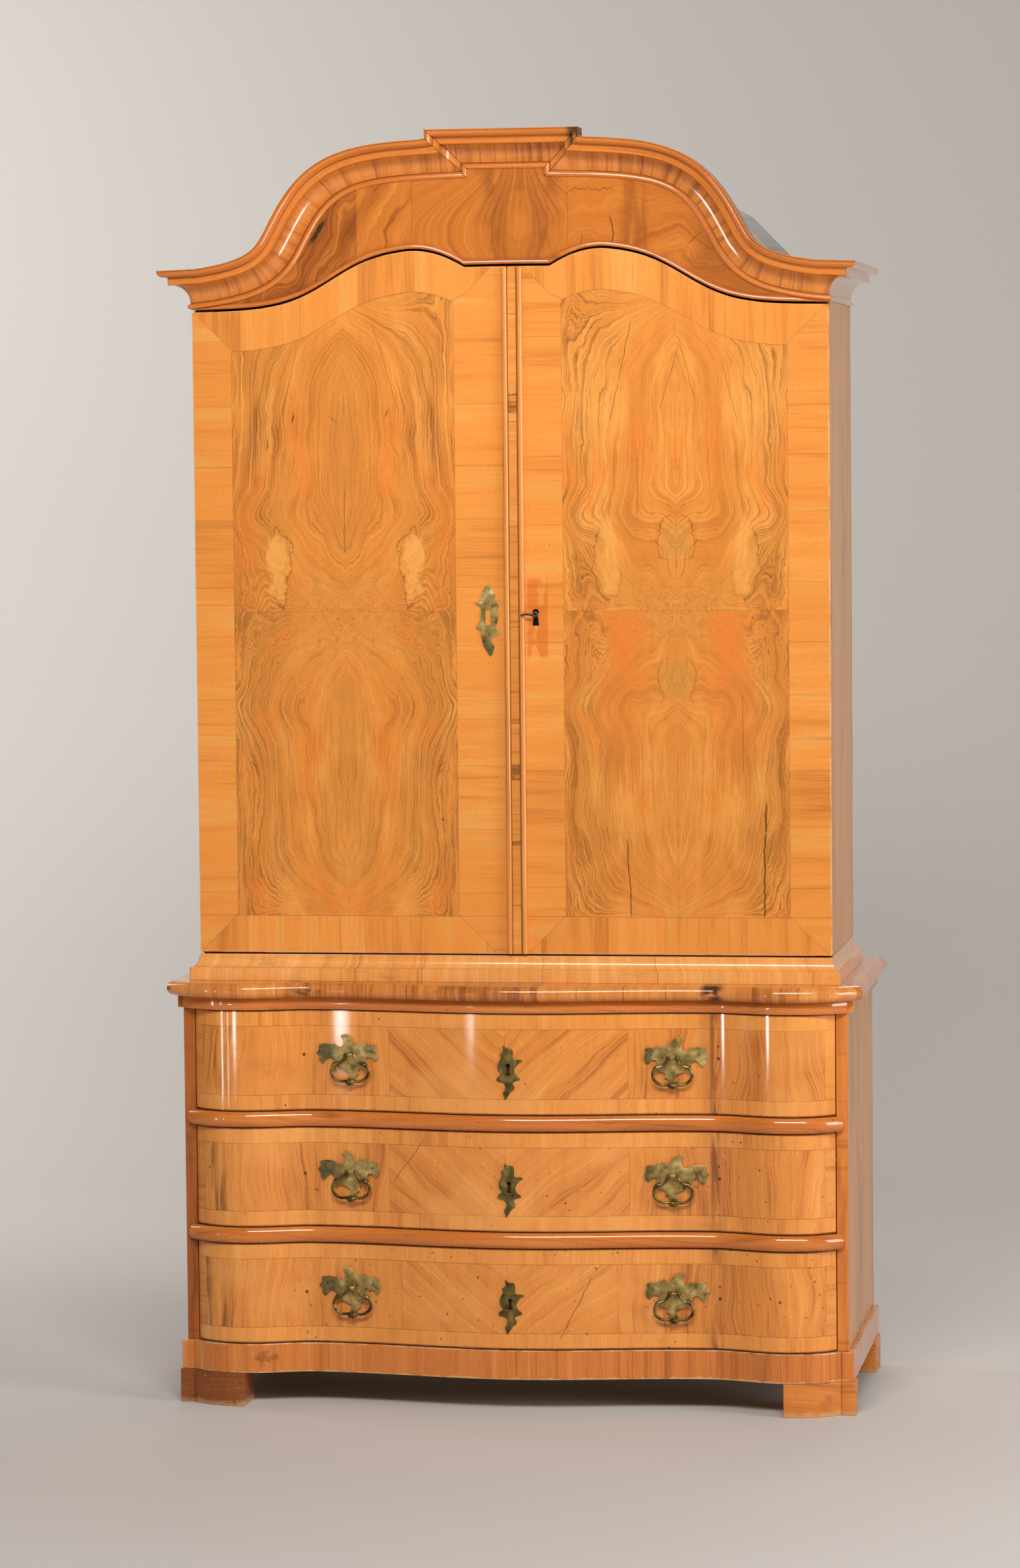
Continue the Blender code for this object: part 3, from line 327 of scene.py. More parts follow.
def plinth_paint(where, run):
    x, y, z = axes(where)
    low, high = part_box("plinth")
    width = x + y * 0.6
    fibre = grain(z, width, 4.2, 55.0, 430.0)
    shade, joint = leaves(width, 0.17, 7.3)
    colour = wood(fibre + (shade - 0.5) * 0.16, tint(168, 90, 37), tint(210, 122, 54), tint(226, 145, 74))
    colour = mixed(pores(z, width, 1.0) * 0.35, colour, tint(112, 56, 22))
    colour = mixed(joint * 0.30, colour, tint(96, 47, 18))
    rub = cloud(point(x * 55.0, y * 55.0, z * 80.0), 4.0, 0.6)
    chipped = ramp((low[2] + 0.006 - z) * 70.0 + rub, 0.66, 0.80)
    colour = mixed(chipped * 0.7, colour, tint(222, 177, 118))
    rim = ramp(z, high[2] - 0.0022, high[2] - 0.0008) * ramp(rub, 0.40, 0.62)
    colour = mixed(rim * 0.5, colour, tint(236, 206, 162))
    spill = reach(x + 0.432, 0.0, (z - 0.085) * 1.6) + (rub - 0.5) * 0.07
    spill = 1 - ramp(spill, 0.008, 0.020)
    blot = ramp(cloud(point(x * 9.0, y * 9.0, z * 22.0), 3.0), 0.60, 0.74) * ramp(x, 0.2, 0.45)
    colour = mixed(spill * 0.5 + blot * 0.45, colour, tint(120, 55, 20))
    rough = fibre * 0.12 + chipped * 0.4 + 0.24
    return colour, rough, fibre * 0.25 - joint * 0.6 - chipped * 1.2


plinth_finish = finish("plinth_cross_veneer", plinth_paint, coat=0.7, relief=0.0004)
low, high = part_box("plinth")
BLOCK_X = high[0] - 0.021
PLINTH_STEP = 0.004
PLINTH_WALL = 0.025
PLINTH_INSIDE = high[0] - PLINTH_WALL
block_y = STILE_Y - PLINTH_STEP - BLOCK_PROUD
outline = [(low[0], high[1]), (low[0], block_y), (-BLOCK_X, block_y)]
outline += front_line(BLOCK_X, PLINTH_STEP)
outline += [(BLOCK_X, block_y), (high[0], block_y), (high[0], high[1]), (PLINTH_INSIDE, high[1])]
outline += [(PLINTH_INSIDE, STILE_Y + PLINTH_WALL), (-PLINTH_INSIDE, STILE_Y + PLINTH_WALL)]
outline.append((-PLINTH_INSIDE, high[1]))
plinth_board = eased(board(outline, low[2], high[2]), 0.0010)
piece("plinth_board", plinth_board, plinth_finish, "walnut_veneer", "carcase", "plinth")

# Chest sides
# Solid boards veneered outside with the grain upright. Their front edges are the corner stiles beside
# the drawers, and a bed strip is glued along the top under the overhang of the chest top.


def side_paint(where, run):
    x, y, z = axes(where)
    fibre = grain(z, y + x * 0.3, 9.4, 26.0, 300.0, 0.7)
    # The outer faces are painted paler and greyer than the stiles: a painted sheen of the polish reflecting
    # the bright surroundings at a grazing angle, over the walnut's own colour
    flank_and_painted_sheen = wood(fibre, tint(156, 98, 52), tint(204, 143, 84), tint(222, 167, 108))
    stile_left = wood(fibre, tint(116, 58, 24), tint(176, 96, 42), tint(204, 124, 60))
    stile_right = wood(fibre, tint(176, 96, 40), tint(218, 130, 58), tint(232, 152, 76))
    stile = mixed(ramp(x, -0.1, 0.1), stile_left, stile_right)
    colour = mixed(ramp(y, STILE_Y + 0.001, STILE_Y + 0.003), stile, flank_and_painted_sheen)
    colour = mixed(pores(z, y, 2.0) * 0.3, colour, tint(104, 58, 29))
    streaky_cloud = ramp(cloud(point(x * 3.0, y * 11.0, z * 2.4), 3.0, 0.6, 0.6), 0.52, 0.72)
    colour = mixed(streaky_cloud * 0.35, colour, tint(138, 90, 54))
    return colour, fibre * 0.18 + streaky_cloud * 0.1 + 0.26, fibre * 0.3


side_finish = finish("upright_side_veneer_and_painted_sheen", side_paint, coat=0.25, relief=0.0003)
STRIP_OUT = 0.010
strip_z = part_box("top_rail")[0][2]
for side, word in SIDES:
    low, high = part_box("chest_side_" + word)
    inner, outer = sorted((abs(low[0]), abs(high[0])))
    outline = [
        (side * inner, low[2]), (side * (outer - STRIP_OUT), low[2]), (side * (outer - STRIP_OUT), strip_z),
        (side * outer, strip_z), (side * outer, high[2]), (side * inner, high[2]),
    ]
    panel = eased(board(outline, low[1], high[1], True), 0.0010)
    piece("chest_flank_" + word, panel, side_finish, "walnut_veneer", "carcase", "chest_side_" + word)

# Chest bottom and back
# Bare softwood planks, sawn and dry, butted side by side. The back is nailed on with hand-made nails and
# the bottom lies inside the plinth.


def bare_paint(along_axis):
    def paint(where, run):
        place = axes(where)
        along = place[along_axis]
        across = place[(along_axis + 1) % 3] + place[(along_axis + 2) % 3] * 0.83
        fibre = grain(along, across, 12.6, 34.0, 380.0, 0.9)
        colour = wood(fibre, tint(120, 88, 56), tint(168, 132, 88), tint(190, 156, 110))
        dust = mottle(*place, 6.0, 4.0, 0.6)
        colour = mixed(ramp(dust, 0.42, 0.70) * 0.5, colour, tint(126, 112, 96))
        knot_place = point(along * 2.6, across * 7.0, 3.0)
        cells = {"Vector": knot_place, "Scale": 1.0, "Randomness": 1.0}
        knot = knot_place.node("ShaderNodeTexVoronoi", {"feature": "F1"}, cells)
        colour = mixed(1 - ramp(knot, 0.05, 0.12), colour, tint(84, 52, 30))
        return colour, fibre * 0.15 + 0.66, fibre * 0.6 + dust * 0.2

    return paint


bare_upright = finish("bare_softwood_upright", bare_paint(2), relief=0.0007)
bare_across = finish("bare_softwood_across", bare_paint(0), relief=0.0007)
PLANK_GAP = 0.0012


def planks(name, node, count, top=None, knees=()):
    """Upright planks that fill a node's box, cut to a top line and its bends where one is given."""
    low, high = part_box(node)
    every = bmesh.new()
    rough = random.Random(count)
    for i in range(count):
        left = low[0] + (high[0] - low[0]) * i / count + PLANK_GAP / 2
        right = low[0] + (high[0] - low[0]) * (i + 1) / count - PLANK_GAP / 2
        if top is None:
            upper = [(right, high[2]), (left, high[2])]
        else:
            bends = [knee for knee in knees if left < knee < right]
            upper = [(x, top(x)) for x in [right, *reversed(bends), left]]
        outline = [(left, low[2]), (right, low[2]), *upper]
        pour(eased(board(outline, low[1] + rough.uniform(0, 0.0012), high[1], True), 0.0009), every)
    piece(name, every, bare_upright, "bare_softwood", "carcase", node)


planks("chest_back_planks", "chest_back", 5)
floor_board = squared(*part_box("chest_bottom"), 0.0010)
piece("chest_floor", floor_board, bare_across, "bare_softwood", "carcase", "chest_bottom")

# Drawer rails
# Half-round lengths of solid walnut between the drawers, following the serpentine and lying over the
# stiles with rounded ends. Each is glued to the front of a softwood dust board that carries a drawer.


def rail_paint(where, run):
    x, y, z = axes(where)
    fibre = grain(x, z * 1.4 + y * 0.8, 15.1, 46.0, 420.0, 0.5)
    colour = wood(fibre, tint(152, 78, 30), tint(207, 117, 49), tint(226, 144, 68))
    colour = mixed(pores(x, z + y, 3.0) * 0.3, colour, tint(112, 51, 20))
    bruise = ramp(cloud(point(x * 7.0, y * 12.0, z * 30.0), 4.0, 0.62), 0.58, 0.74)
    colour = mixed(bruise * 0.5, colour, tint(118, 51, 20))
    nick = ramp(mottle(x, y, z, 150.0, 2.0), 0.70, 0.78)
    colour = mixed(nick * 0.7, colour, tint(70, 34, 16))
    return colour, fibre * 0.14 + bruise * 0.12 + 0.20, fibre * 0.2 - nick * 1.0


rail_finish = finish("rail_walnut", rail_paint, coat=1.0, relief=0.0003)


def stack(sections):
    """A closed solid through plan outlines of equal count, one above the other."""
    bm = bmesh.new()
    rings = [[bm.verts.new(place) for place in section] for section in sections]
    count = len(rings[0])
    for first, second in zip(rings, rings[1:]):
        for i in range(count):
            bm.faces.new((first[i - 1], first[i], second[i], second[i - 1]))
    bm.faces.new(rings[0])
    bm.faces.new(rings[-1])
    return bm


RAIL_NOSE = 0.010
RAIL_DEPTH = 0.030
RAIL_LIP = 0.0005
DUST_BOARD = 0.016
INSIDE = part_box("chest_back")[1][0]


def rail_section(half, proud, z):
    """Plan outline of a rail at one height: the serpentine, and a straight back between the sides."""
    section = front_line(half, proud)
    tail = [(half, STILE_Y - RAIL_LIP), (INSIDE, STILE_Y - RAIL_LIP), (INSIDE, STILE_Y + RAIL_DEPTH)]
    section += tail + [(-x, y) for x, y in reversed(tail)]
    return [(x, y, z) for x, y in section]


for word in ("lower", "upper"):
    low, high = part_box("drawer_rail_" + word)
    tall = high[2] - low[2]
    sections = []
    for i in range(17):
        rise = math.sin(math.radians(-90 + 180 * i / 16))
        proud = RAIL_NOSE * (0.2 + 0.8 * math.sqrt(max(0.0, 1 - rise * rise)))
        sections.append(rail_section(high[0] - RAIL_NOSE + proud, proud, low[2] + tall / 2 * (1 + rise)))
    nose = stack(sections)
    piece("rail_nose_" + word, nose, rail_finish, "solid_walnut", "carcase", "drawer_rail_" + word)
    corner = (-INSIDE, STILE_Y + RAIL_DEPTH, high[2] - DUST_BOARD)
    dust_board = squared(corner, (INSIDE, high[1], high[2]), 0.0008)
    piece("dust_board_" + word, dust_board, bare_across, "bare_softwood", "carcase")

# Top rail
# A thin walnut strip that closes the chest above the drawers and beds the chest top. It follows the
# serpentine a little in front of the drawers and has a softly rounded face.
low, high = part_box("top_rail")
sections = []
TOP_RAIL_PROUD = 0.006
TOP_RAIL_ROUND = 0.0022
for i in range(9):
    rise = i / 4 - 1
    proud = TOP_RAIL_PROUD - TOP_RAIL_ROUND * abs(rise) ** 3
    sections.append(rail_section(high[0], proud, low[2] + (high[2] - low[2]) * i / 8))
piece("top_rail_strip", stack(sections), rail_finish, "solid_walnut", "carcase", "top_rail")

# Chest top
# A softwood top veneered all over, its half-round edge cross-banded with short leaves of walnut laid
# side by side around the serpentine. Old stains sit in the folds.


def chest_top_paint(where, run):
    x, y, z = axes(where)
    around = x + (y - STILE_Y) * ramp(abs(x), 0.54, 0.60)
    fibre = grain(z * 3.0 + y * 0.6, around, 17.7, 70.0, 480.0)
    shade, joint = leaves(around, 0.075, 11.9)
    colour = wood(fibre + (shade - 0.5) * 0.26, tint(156, 86, 36), tint(212, 128, 57), tint(230, 152, 78))
    colour = mixed(pores(z, around, 5.0) * 0.35, colour, tint(104, 51, 20))
    colour = mixed(joint * 0.7, colour, tint(70, 36, 16))
    smut = cloud(point(x * 40.0, y * 40.0, z * 60.0), 4.0)
    fold = stroke(x, FOLD_X + 0.004, 0.026) * ramp(smut, 0.34, 0.50)
    fold = fold + stroke(x, 0 - FOLD_X - 0.010, 0.040) * ramp(smut, 0.46, 0.62) * 0.8
    colour = mixed(fold * 0.9, colour, tint(34, 22, 15))
    stain = ramp(cloud(point(x * 10.0, y * 10.0, z * 24.0), 4.0, 0.6), 0.58, 0.72)
    colour = mixed(stain * 0.4, colour, tint(112, 53, 22))
    return colour, fibre * 0.14 + fold * 0.2 + 0.20, fibre * 0.25 - joint * 0.8 - fold * 0.5


chest_top_finish = finish("cross_banded_top", chest_top_paint, coat=0.9, relief=0.0003)
low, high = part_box("chest_top")
TOP_NOSE = 0.012
TOP_OVERHANG = 0.026
TOP_CORNER_BACK = 0.016
sections = []
for i in range(17):
    turn = math.radians(-90 + 180 * i / 16)
    inset = TOP_NOSE * (1 - math.cos(turn))
    section = front_line(high[0] - inset, TOP_OVERHANG - inset, -TOP_CORNER_BACK)
    section += [(high[0] - inset, high[1]), (inset - high[0], high[1])]
    sections.append([(x, y, low[2] + (high[2] - low[2]) / 2 * (1 + math.sin(turn))) for x, y in section])
piece("chest_top_board", stack(sections), chest_top_finish, "walnut_veneer", "carcase", "chest_top")

# Drawer fronts
# Serpentine softwood cores veneered in walnut: a cross-banded frame, two book-matched leaves in the
# middle whose grain runs up and outward in a V, and plainer leaves at the ends. Old handle holes,
# worm holes, scratches and a few cracks are left in the polish.


def keyhole(scale, x=0.0, z=0.0):
    """A round hole over a flared slot."""
    outline = []
    for i in range(17):
        turn = math.radians(-50 + 280 * i / 16)
        height = 0.0045 + 0.0040 * math.sin(turn)
        outline.append((x + 0.0040 * scale * math.cos(turn), z + scale * height))
    outline += [(x - 0.0042 * scale, z - 0.0120 * scale), (x + 0.0042 * scale, z - 0.0120 * scale)]
    return outline


def settled(item):
    """The mesh that an object's own tools end in. The object is removed."""
    mesh = bpy.data.meshes.new_from_object(item.evaluated_get(bpy.context.evaluated_depsgraph_get()))
    bpy.data.objects.remove(item)
    made = bmesh.new()
    made.from_mesh(mesh)
    return made


def cut_through(name, bm, outline, front, back):
    """The mesh with an upright outline cut out of it between two depths."""
    pair = []
    for label, shape in ((name, bm), (name + "_cutter", board(outline, front, back, True))):
        mesh = bpy.data.meshes.new(label)
        shape.to_mesh(mesh)
        shape.free()
        pair.append(bpy.data.objects.new(label, mesh))
        bpy.context.scene.collection.objects.link(pair[-1])
    modifier = pair[0].modifiers.new("cut", "BOOLEAN")
    modifier.solver = "EXACT"
    modifier.object = pair[1]
    made = settled(pair[0])
    bpy.data.objects.remove(pair[1])
    return made


MATCH_X = -0.006
END_BAND = 0.016


def drawer_paint(seed, left_seam, right_seam):
    """The field of a drawer front: a V of two matched leaves between plainer ends."""

    def paint(x, z):
        span = abs(x - MATCH_X)
        end = inside(x, left_seam, right_seam)
        bend = cloud(point(x * 5.0, 0.0, z * 6.0 + seed), 2.0) - 0.5
        diagonal = z * 0.77 - span * 0.64 + bend * 0.05
        slant = z * 0.64 + span * 0.77
        middle = grain(slant, diagonal, seed, 42.0, 380.0, 0.6)
        curl = cloud(point(x * 7.0, seed, z * 4.0), 2.0) - 0.5
        plain = grain(z, x + curl * 0.09, seed + 2.0, 30.0, 330.0, 0.9)
        tone = plain + (middle - plain) * end
        shade = (1 - end) * (ramp(x, -0.1, 0.1) * -0.05 + 0.02)
        bold = (tone - 0.5) * 1.2 + 0.5 + shade
        colour = wood(bold, tint(174, 94, 36), tint(225, 138, 57), tint(238, 160, 78))
        streaks = ramp(cloud(point((x + curl * 0.05) * 62.0, seed, z * 4.0), 4.0, 0.66), 0.46, 0.70)
        far_left = 1 - ramp(x + curl * 0.1, -0.52, -0.44)
        colour = mixed(streaks * (far_left * 0.75 + 0.10), colour, tint(112, 58, 24))
        return colour, tone

    return paint


def drawer_finish(word, seed, left_seam, right_seam, holes, cracks):
    low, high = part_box(word + "_drawer_front")
    band = 0.027
    field = drawer_paint(seed, left_seam, right_seam)

    def paint(where, run):
        x, y, z = axes(where)
        colour, tone = field(x, z)
        upper = ramp(z, high[2] - band - 0.0004, high[2] - band + 0.0004)
        lower = 1 - ramp(z, low[2] + band - 0.0004, low[2] + band + 0.0004)
        banded = upper + lower
        across = grain(z, x, seed + 5.0, 60.0, 460.0)
        shade, joint = leaves(x, 0.16, seed + 1.3)
        across = across + (shade - 0.5) * 0.16
        band_colour = wood(across, tint(202, 118, 46), tint(230, 146, 64), tint(240, 164, 82))
        colour = mixed(banded, colour, band_colour)
        ends = ramp(abs(x), HALF_FRONT - END_BAND - 0.0005, HALF_FRONT - END_BAND) * (1 - banded)
        level = grain(x, z, seed + 8.0, 60.0, 460.0)
        colour = mixed(ends, colour, wood(level, tint(166, 92, 36), tint(222, 138, 58), tint(234, 158, 78)))
        seams = stroke(z, high[2] - band, 0.0009) + stroke(z, low[2] + band, 0.0009)
        for seam in (left_seam, MATCH_X, right_seam):
            seams = seams + stroke(x, seam, 0.0008) * (1 - banded) * 0.7
        seams = seams + stroke(abs(x), HALF_FRONT - END_BAND, 0.0008) * (1 - banded) * 0.7
        colour = mixed(seams * 0.5, colour, tint(120, 62, 25))
        colour = mixed(pores(z, x, seed) * 0.28, colour, tint(140, 73, 30))
        blot = ramp(cloud(point(x * 6.0, seed, z * 8.0), 4.0, 0.62), 0.60, 0.76)
        colour = mixed(blot * 0.32, colour, tint(164, 84, 30))
        pale = ramp(cloud(point(x * 5.0, seed + 9.0, z * 7.0), 3.0, 0.6), 0.50, 0.72)
        colour = mixed(pale * 0.45, colour, tint(242, 166, 88))
        # Painted shade down the concave folds of the serpentine, mostly at the right-hand fold, with some
        # real grime there too
        streaky_cloud = cloud(point(x * 60.0, seed + 2.0, z * 9.0), 3.0)
        grime_and_painted_shade = stroke(abs(x), FOLD_X + 0.004, 0.034) * (streaky_cloud * 0.3 + 0.05)
        grime_and_painted_shade = grime_and_painted_shade * (ramp(x, 0.0, 0.1) * 0.8 + 0.2)
        grime_and_painted_shade = grime_and_painted_shade + stroke(x, FOLD_X + 0.006, 0.011) * ramp(streaky_cloud, 0.40, 0.58) * 0.6
        colour = mixed(grime_and_painted_shade, colour, tint(118, 58, 22))
        worm = ramp(cloud(point(x * 150.0, seed, z * 150.0), 1.0), 0.735, 0.775)
        worm = worm * ramp(cloud(point(x * 9.0, seed + 3.0, z * 11.0), 2.0), 0.38, 0.56)
        bite_zone = ramp(x, 0.22, 0.34) + inside(x, -0.40, -0.33, 0.02) * 0.8
        bite = ramp(cloud(point(x * 70.0, seed + 4.0, z * 80.0), 5.0, 0.72), 0.665, 0.72) * bite_zone
        dark = worm + bite
        # Painted shade along the top and bottom edges, for the dark gaps beside the rails, with some grime
        # in the edges
        edge = least(high[2] - z, z - low[2])
        dark = dark + (1 - ramp(edge, 0.0014, 0.0030)) * (streaky_cloud * 0.4 + 0.6)
        # Painted shade inside the keyhole, which also darkens a strip down the back of the front
        dark = dark + ramp(y, low[1] + 0.0015, low[1] + 0.0030) * inside(x, -0.007, 0.007)
        for hole_x, hole_z, radius in holes:
            distance = reach(x - hole_x, 0.0, z - hole_z)
            dark = dark + (1 - ramp(distance, radius * 0.8, radius * 1.1))
        for crack_x, lean, crack_low, crack_high in cracks:
            wander = (cloud(point(0.0, seed, z * 55.0), 3.0) - 0.5) * 0.010
            path = x - crack_x - (z - crack_low) * lean + wander
            dark = dark + stroke(path, 0.0, 0.0011) * inside(z, crack_low, crack_high, 0.004) * 0.8
        colour = mixed(least(dark, 1.0) * 0.85, colour, tint(46, 24, 12))
        scratch = ramp(cloud(point((x + z * 0.6) * 640.0, seed, (x * 0.6 - z) * 34.0), 1.0), 0.68, 0.76)
        scratch = scratch * ramp(cloud(point(x * 5.0, seed, z * 5.0)), 0.44, 0.60)
        fleck = ramp(cloud(point(x * 260.0, seed + 6.0, z * 210.0), 1.0), 0.74, 0.80)
        colour = mixed(scratch * 0.45 + fleck * 0.35, colour, tint(244, 192, 124))
        rough = tone * 0.12 + blot * 0.10 + scratch * 0.2 + 0.20
        return colour, rough, tone * 0.15 - seams * 0.5 - dark * 1.4 - scratch * 0.2

    return finish(word + "_drawer_veneer", paint, coat=0.9, relief=0.0003)


KEYHOLE_BELOW_MIDDLE = 0.007
DRAWERS = {
    "lower": (21.3, -0.193, 0.183, 0.1975, [(0.085, 0.52, 0.128, 0.235)]),
    "middle": (27.8, -0.213, 0.205, 0.4045, [(-0.205, 0.75, 0.395, 0.470)]),
    "upper": (33.1, -0.212, 0.204, 0.6115, []),
}
for word, (seed, left_seam, right_seam, hole_z, cracks) in DRAWERS.items():
    low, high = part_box(word + "_drawer_front")
    holes = [(-0.3635, hole_z, 0.0030), (0.3580, hole_z, 0.0030), (0.3575, hole_z + 0.021, 0.0020)]
    veneer = drawer_finish(word, seed, left_seam, right_seam, holes, cracks)
    outline = front_line(HALF_FRONT, 0.0) + [(HALF_FRONT, high[1]), (-HALF_FRONT, high[1])]
    front = eased(board(outline, low[2], high[2]), 0.0007)
    key_z = (low[2] + high[2]) / 2 - KEYHOLE_BELOW_MIDDLE
    front = cut_through(word + "_front", front, keyhole(1.0, 0.0, key_z), low[1] - 0.01, low[1] + 0.016)
    name = word + "_serpentine_front"
    piece(name, front, veneer, "walnut_veneer", word + "_drawer", word + "_drawer_front")

# Drawer boxes
# Softwood sides and back dovetailed together, with a thin bottom slid in from behind.
# They are left bare and have darkened from handling.
BOX_WALL = 0.012
BOX_FLOOR = 0.008


def dovetail_paint(where, run):
    base, rough, height = bare_paint(1)(where, run)
    x, y, z = axes(where)
    low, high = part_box("middle_drawer_box")
    tail = abs((z * 26.0).maths("FRACT", z * 26.0) - 0.5) * 2.0
    depth = least(y - low[1], high[1] - y)
    slope = tail - 0.5 - (depth - 0.006) * 14.0
    corner = 1 - ramp(depth, BOX_WALL - 0.0006, BOX_WALL)
    joint = (stroke(slope, 0.0, 0.06) + stroke(depth, BOX_WALL, 0.0012)) * ramp(abs(x), 0.540, 0.5425)
    joint = joint * (1 - ramp(depth, BOX_WALL, BOX_WALL + 0.001))
    end_grain = ramp(slope, -0.02, 0.02) * corner * ramp(abs(x), 0.540, 0.5425)
    base = mixed(end_grain * 0.4, base, tint(112, 78, 46))
    return mixed(joint * 0.7, base, tint(58, 38, 22)), rough, height - joint * 0.8


dovetailed = finish("dovetailed_softwood", dovetail_paint, relief=0.0006)
for word in DRAWERS:
    low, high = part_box(word + "_drawer_box")
    inner_x = high[0] - BOX_WALL
    walls = bmesh.new()
    spans = (
        (low[0], -inner_x, low[1], high[1], low[2], high[2]),
        (inner_x, high[0], low[1], high[1], low[2], high[2]),
        (-inner_x, inner_x, low[1], low[1] + BOX_WALL, low[2], high[2]),
        (-inner_x, inner_x, high[1] - BOX_WALL, high[1], low[2] + BOX_FLOOR, high[2] - 0.012),
        (-inner_x, inner_x, low[1] + BOX_WALL, high[1], low[2], low[2] + BOX_FLOOR),
    )
    for x0, x1, y0, y1, z0, z1 in spans:
        pour(squared((x0, y0, z0), (x1, y1, z1), 0.0008), walls)
    name = word + "_dovetailed_box"
    piece(name, walls, dovetailed, "bare_softwood", word + "_drawer", word + "_drawer_box")

# Backplates
# Cast and filed brass in a ragged shell outline, pinned to the drawer front and bored for the handle's
# post. A reeded barrel in front of the plate carries the handle. The brass has browned, green at the ends.


def brass_paint(dark, middle, light, green, ends):
    def paint(where, run):
        x, y, z = axes(where)
        fog = mottle(x, y, z, 55.0, 5.0, 0.6)
        cast = mottle(x, y, z, 420.0, 3.0, 0.6)
        colour = mixed(ramp(fog, 0.48, 0.68), mixed(ramp(fog, 0.30, 0.50), dark, middle), light)
        verdigris = ramp(cloud(point(x * 46.0, y * 46.0, z * 46.0 + 9.0), 4.0, 0.65), 0.56, 0.70)
        dull = 1 - ramp(x, -0.318, -0.298) + inside(x, 0.21, 0.243, 0.008)
        dull = dull + inside(z, 1.29, 1.326, 0.010)
        verdigris = verdigris * green + dull * ramp(fog, 0.36, 0.50) * ends
        colour = mixed(least(verdigris, 1.0), colour, tint(46, 64, 42))
        speck = ramp(mottle(x, y, z, 700.0, 1.0), 0.64, 0.76)
        colour = mixed(speck * 0.35, colour, tint(60, 46, 26))
        rough = fog * 0.20 + verdigris * 0.2 + cast * 0.10 + 0.18
        return colour, rough, cast * 0.5 + fog * 0.4 - speck * 0.4

    return paint


plate_brass = finish(
    "browned_plate_brass",
    brass_paint(tint(104, 80, 40), tint(176, 147, 82), tint(222, 194, 124), 0.40, 0.8),
    metal=0.6,
    relief=0.0003,
)
PLATE_EDGE = (
    (-42, -11), (-47, -7), (-49, 0), (-46, 8), (-46, 15), (-39, 18), (-33, 16), (-27, 19), (-21, 20),
    (-17, 23), (-11, 18), (-6, 18), (-3, 25), (4, 32), (11, 34.5), (17, 33), (18, 30), (14, 24), (15, 17),
    (20, 12), (26, 13), (31, 18), (34, 16), (42, 18), (57, 16), (57, 9), (62, 1), (57, -3), (57, -10),
    (51, -16.5), (47, -12), (41, -6.5), (34, -8), (29, -17), (20, -24), (11, -28), (5, -31), (4, -37),
    (7, -41), (0, -44), (-6, -41), (-9, -36), (-14, -34), (-13, -27), (-22, -23), (-27, -17), (-27, -7),
    (-31, -4), (-37, -6),
)
PLATE_THICKNESS = 0.0016
PLATE_ROUND = 0.0005
PLATE_SEAT = 0.0005
HANDLE_X = 0.279
HANDLE_ABOVE_MIDDLE = 0.011
HANDLE_STAND = 0.010
BARREL_HALF = 0.0040
BARREL_BORE = 0.0020


def curved(points, steps, closed=True):
    """Points along a smooth curve through the given ones."""
    count = len(points)
    result = []
    for i in range(count if closed else count - 1):
        numbers = range(i - 1, i + 3)
        near = [points[k % count if closed else min(max(k, 0), count - 1)] for k in numbers]
        for step in range(steps):
            t = step / steps
            value = []
            for a, b, c, d in zip(*near):
                value.append(0.5 * (2 * b + (c - a) * t + (2 * a - 5 * b + 4 * c - d) * t ** 2
                                    + (3 * b - a - 3 * c + d) * t ** 3))
            result.append(tuple(value))
    return result if closed else result + [tuple(points[-1])]


def cast_plate(outlines, thickness, edge):
    """A flat casting with its holes and a filed round on every edge, its back at height 0."""
    curve = bpy.data.curves.new("casting", "CURVE")
    curve.dimensions = "2D"
    curve.fill_mode = "BOTH"
    curve.extrude = thickness / 2 - edge
    curve.bevel_depth = edge
    curve.bevel_resolution = 2
    curve.offset = -edge
    for outline in outlines:
        spline = curve.splines.new("POLY")
        spline.points.add(len(outline) - 1)
        spline.use_cyclic_u = True
        for spot, (u, v) in zip(spline.points, outline):
            spot.co = (u, v, 0.0, 1.0)
    item = bpy.data.objects.new("casting", curve)
    bpy.context.scene.collection.objects.link(item)
    bm = settled(item)
    bmesh.ops.remove_doubles(bm, verts=bm.verts, dist=0.00001)
    bmesh.ops.translate(bm, verts=bm.verts, vec=(0, 0, thickness / 2))
    return bm


def turned(bm, rings, sides):
    """A closed ring turned about the local X axis, from places along it and radii."""
    loops = []
    for u, radius in rings:
        loop = []
        for i in range(sides):
            turn = 2 * math.pi * i / sides
            loop.append(bm.verts.new((u, radius * math.cos(turn), radius * math.sin(turn))))
        loops.append(loop)
    for k in range(len(loops)):
        for i in range(sides):
            bm.faces.new((loops[k - 1][i - 1], loops[k - 1][i], loops[k][i], loops[k][i - 1]))


def handle_frame(side, height):
    """Place on the drawer front under a handle's post: sideways along the front, up, outward."""
    x = side * HANDLE_X
    slope = -(swell(x + 0.001, HALF_FRONT) - swell(x - 0.001, HALF_FRONT)) / 0.002
    size = math.hypot(1.0, slope)
    along, back = 1.0 / size, slope / size
    seat = 0.0
    for i in range(-62, 63):
        ahead = swell(x + i / 1000 * along, HALF_FRONT) - swell(x, HALF_FRONT)
        seat = max(seat, ahead * along + i / 1000 * along * back)
    y = STILE_Y - swell(x, HALF_FRONT)
    place = Matrix(((along, 0, back, x), (back, 0, -along, y), (0, 1, 0, height), (0, 0, 0, 1)))
    return place @ Matrix.Translation((0, 0, seat + PLATE_SEAT))


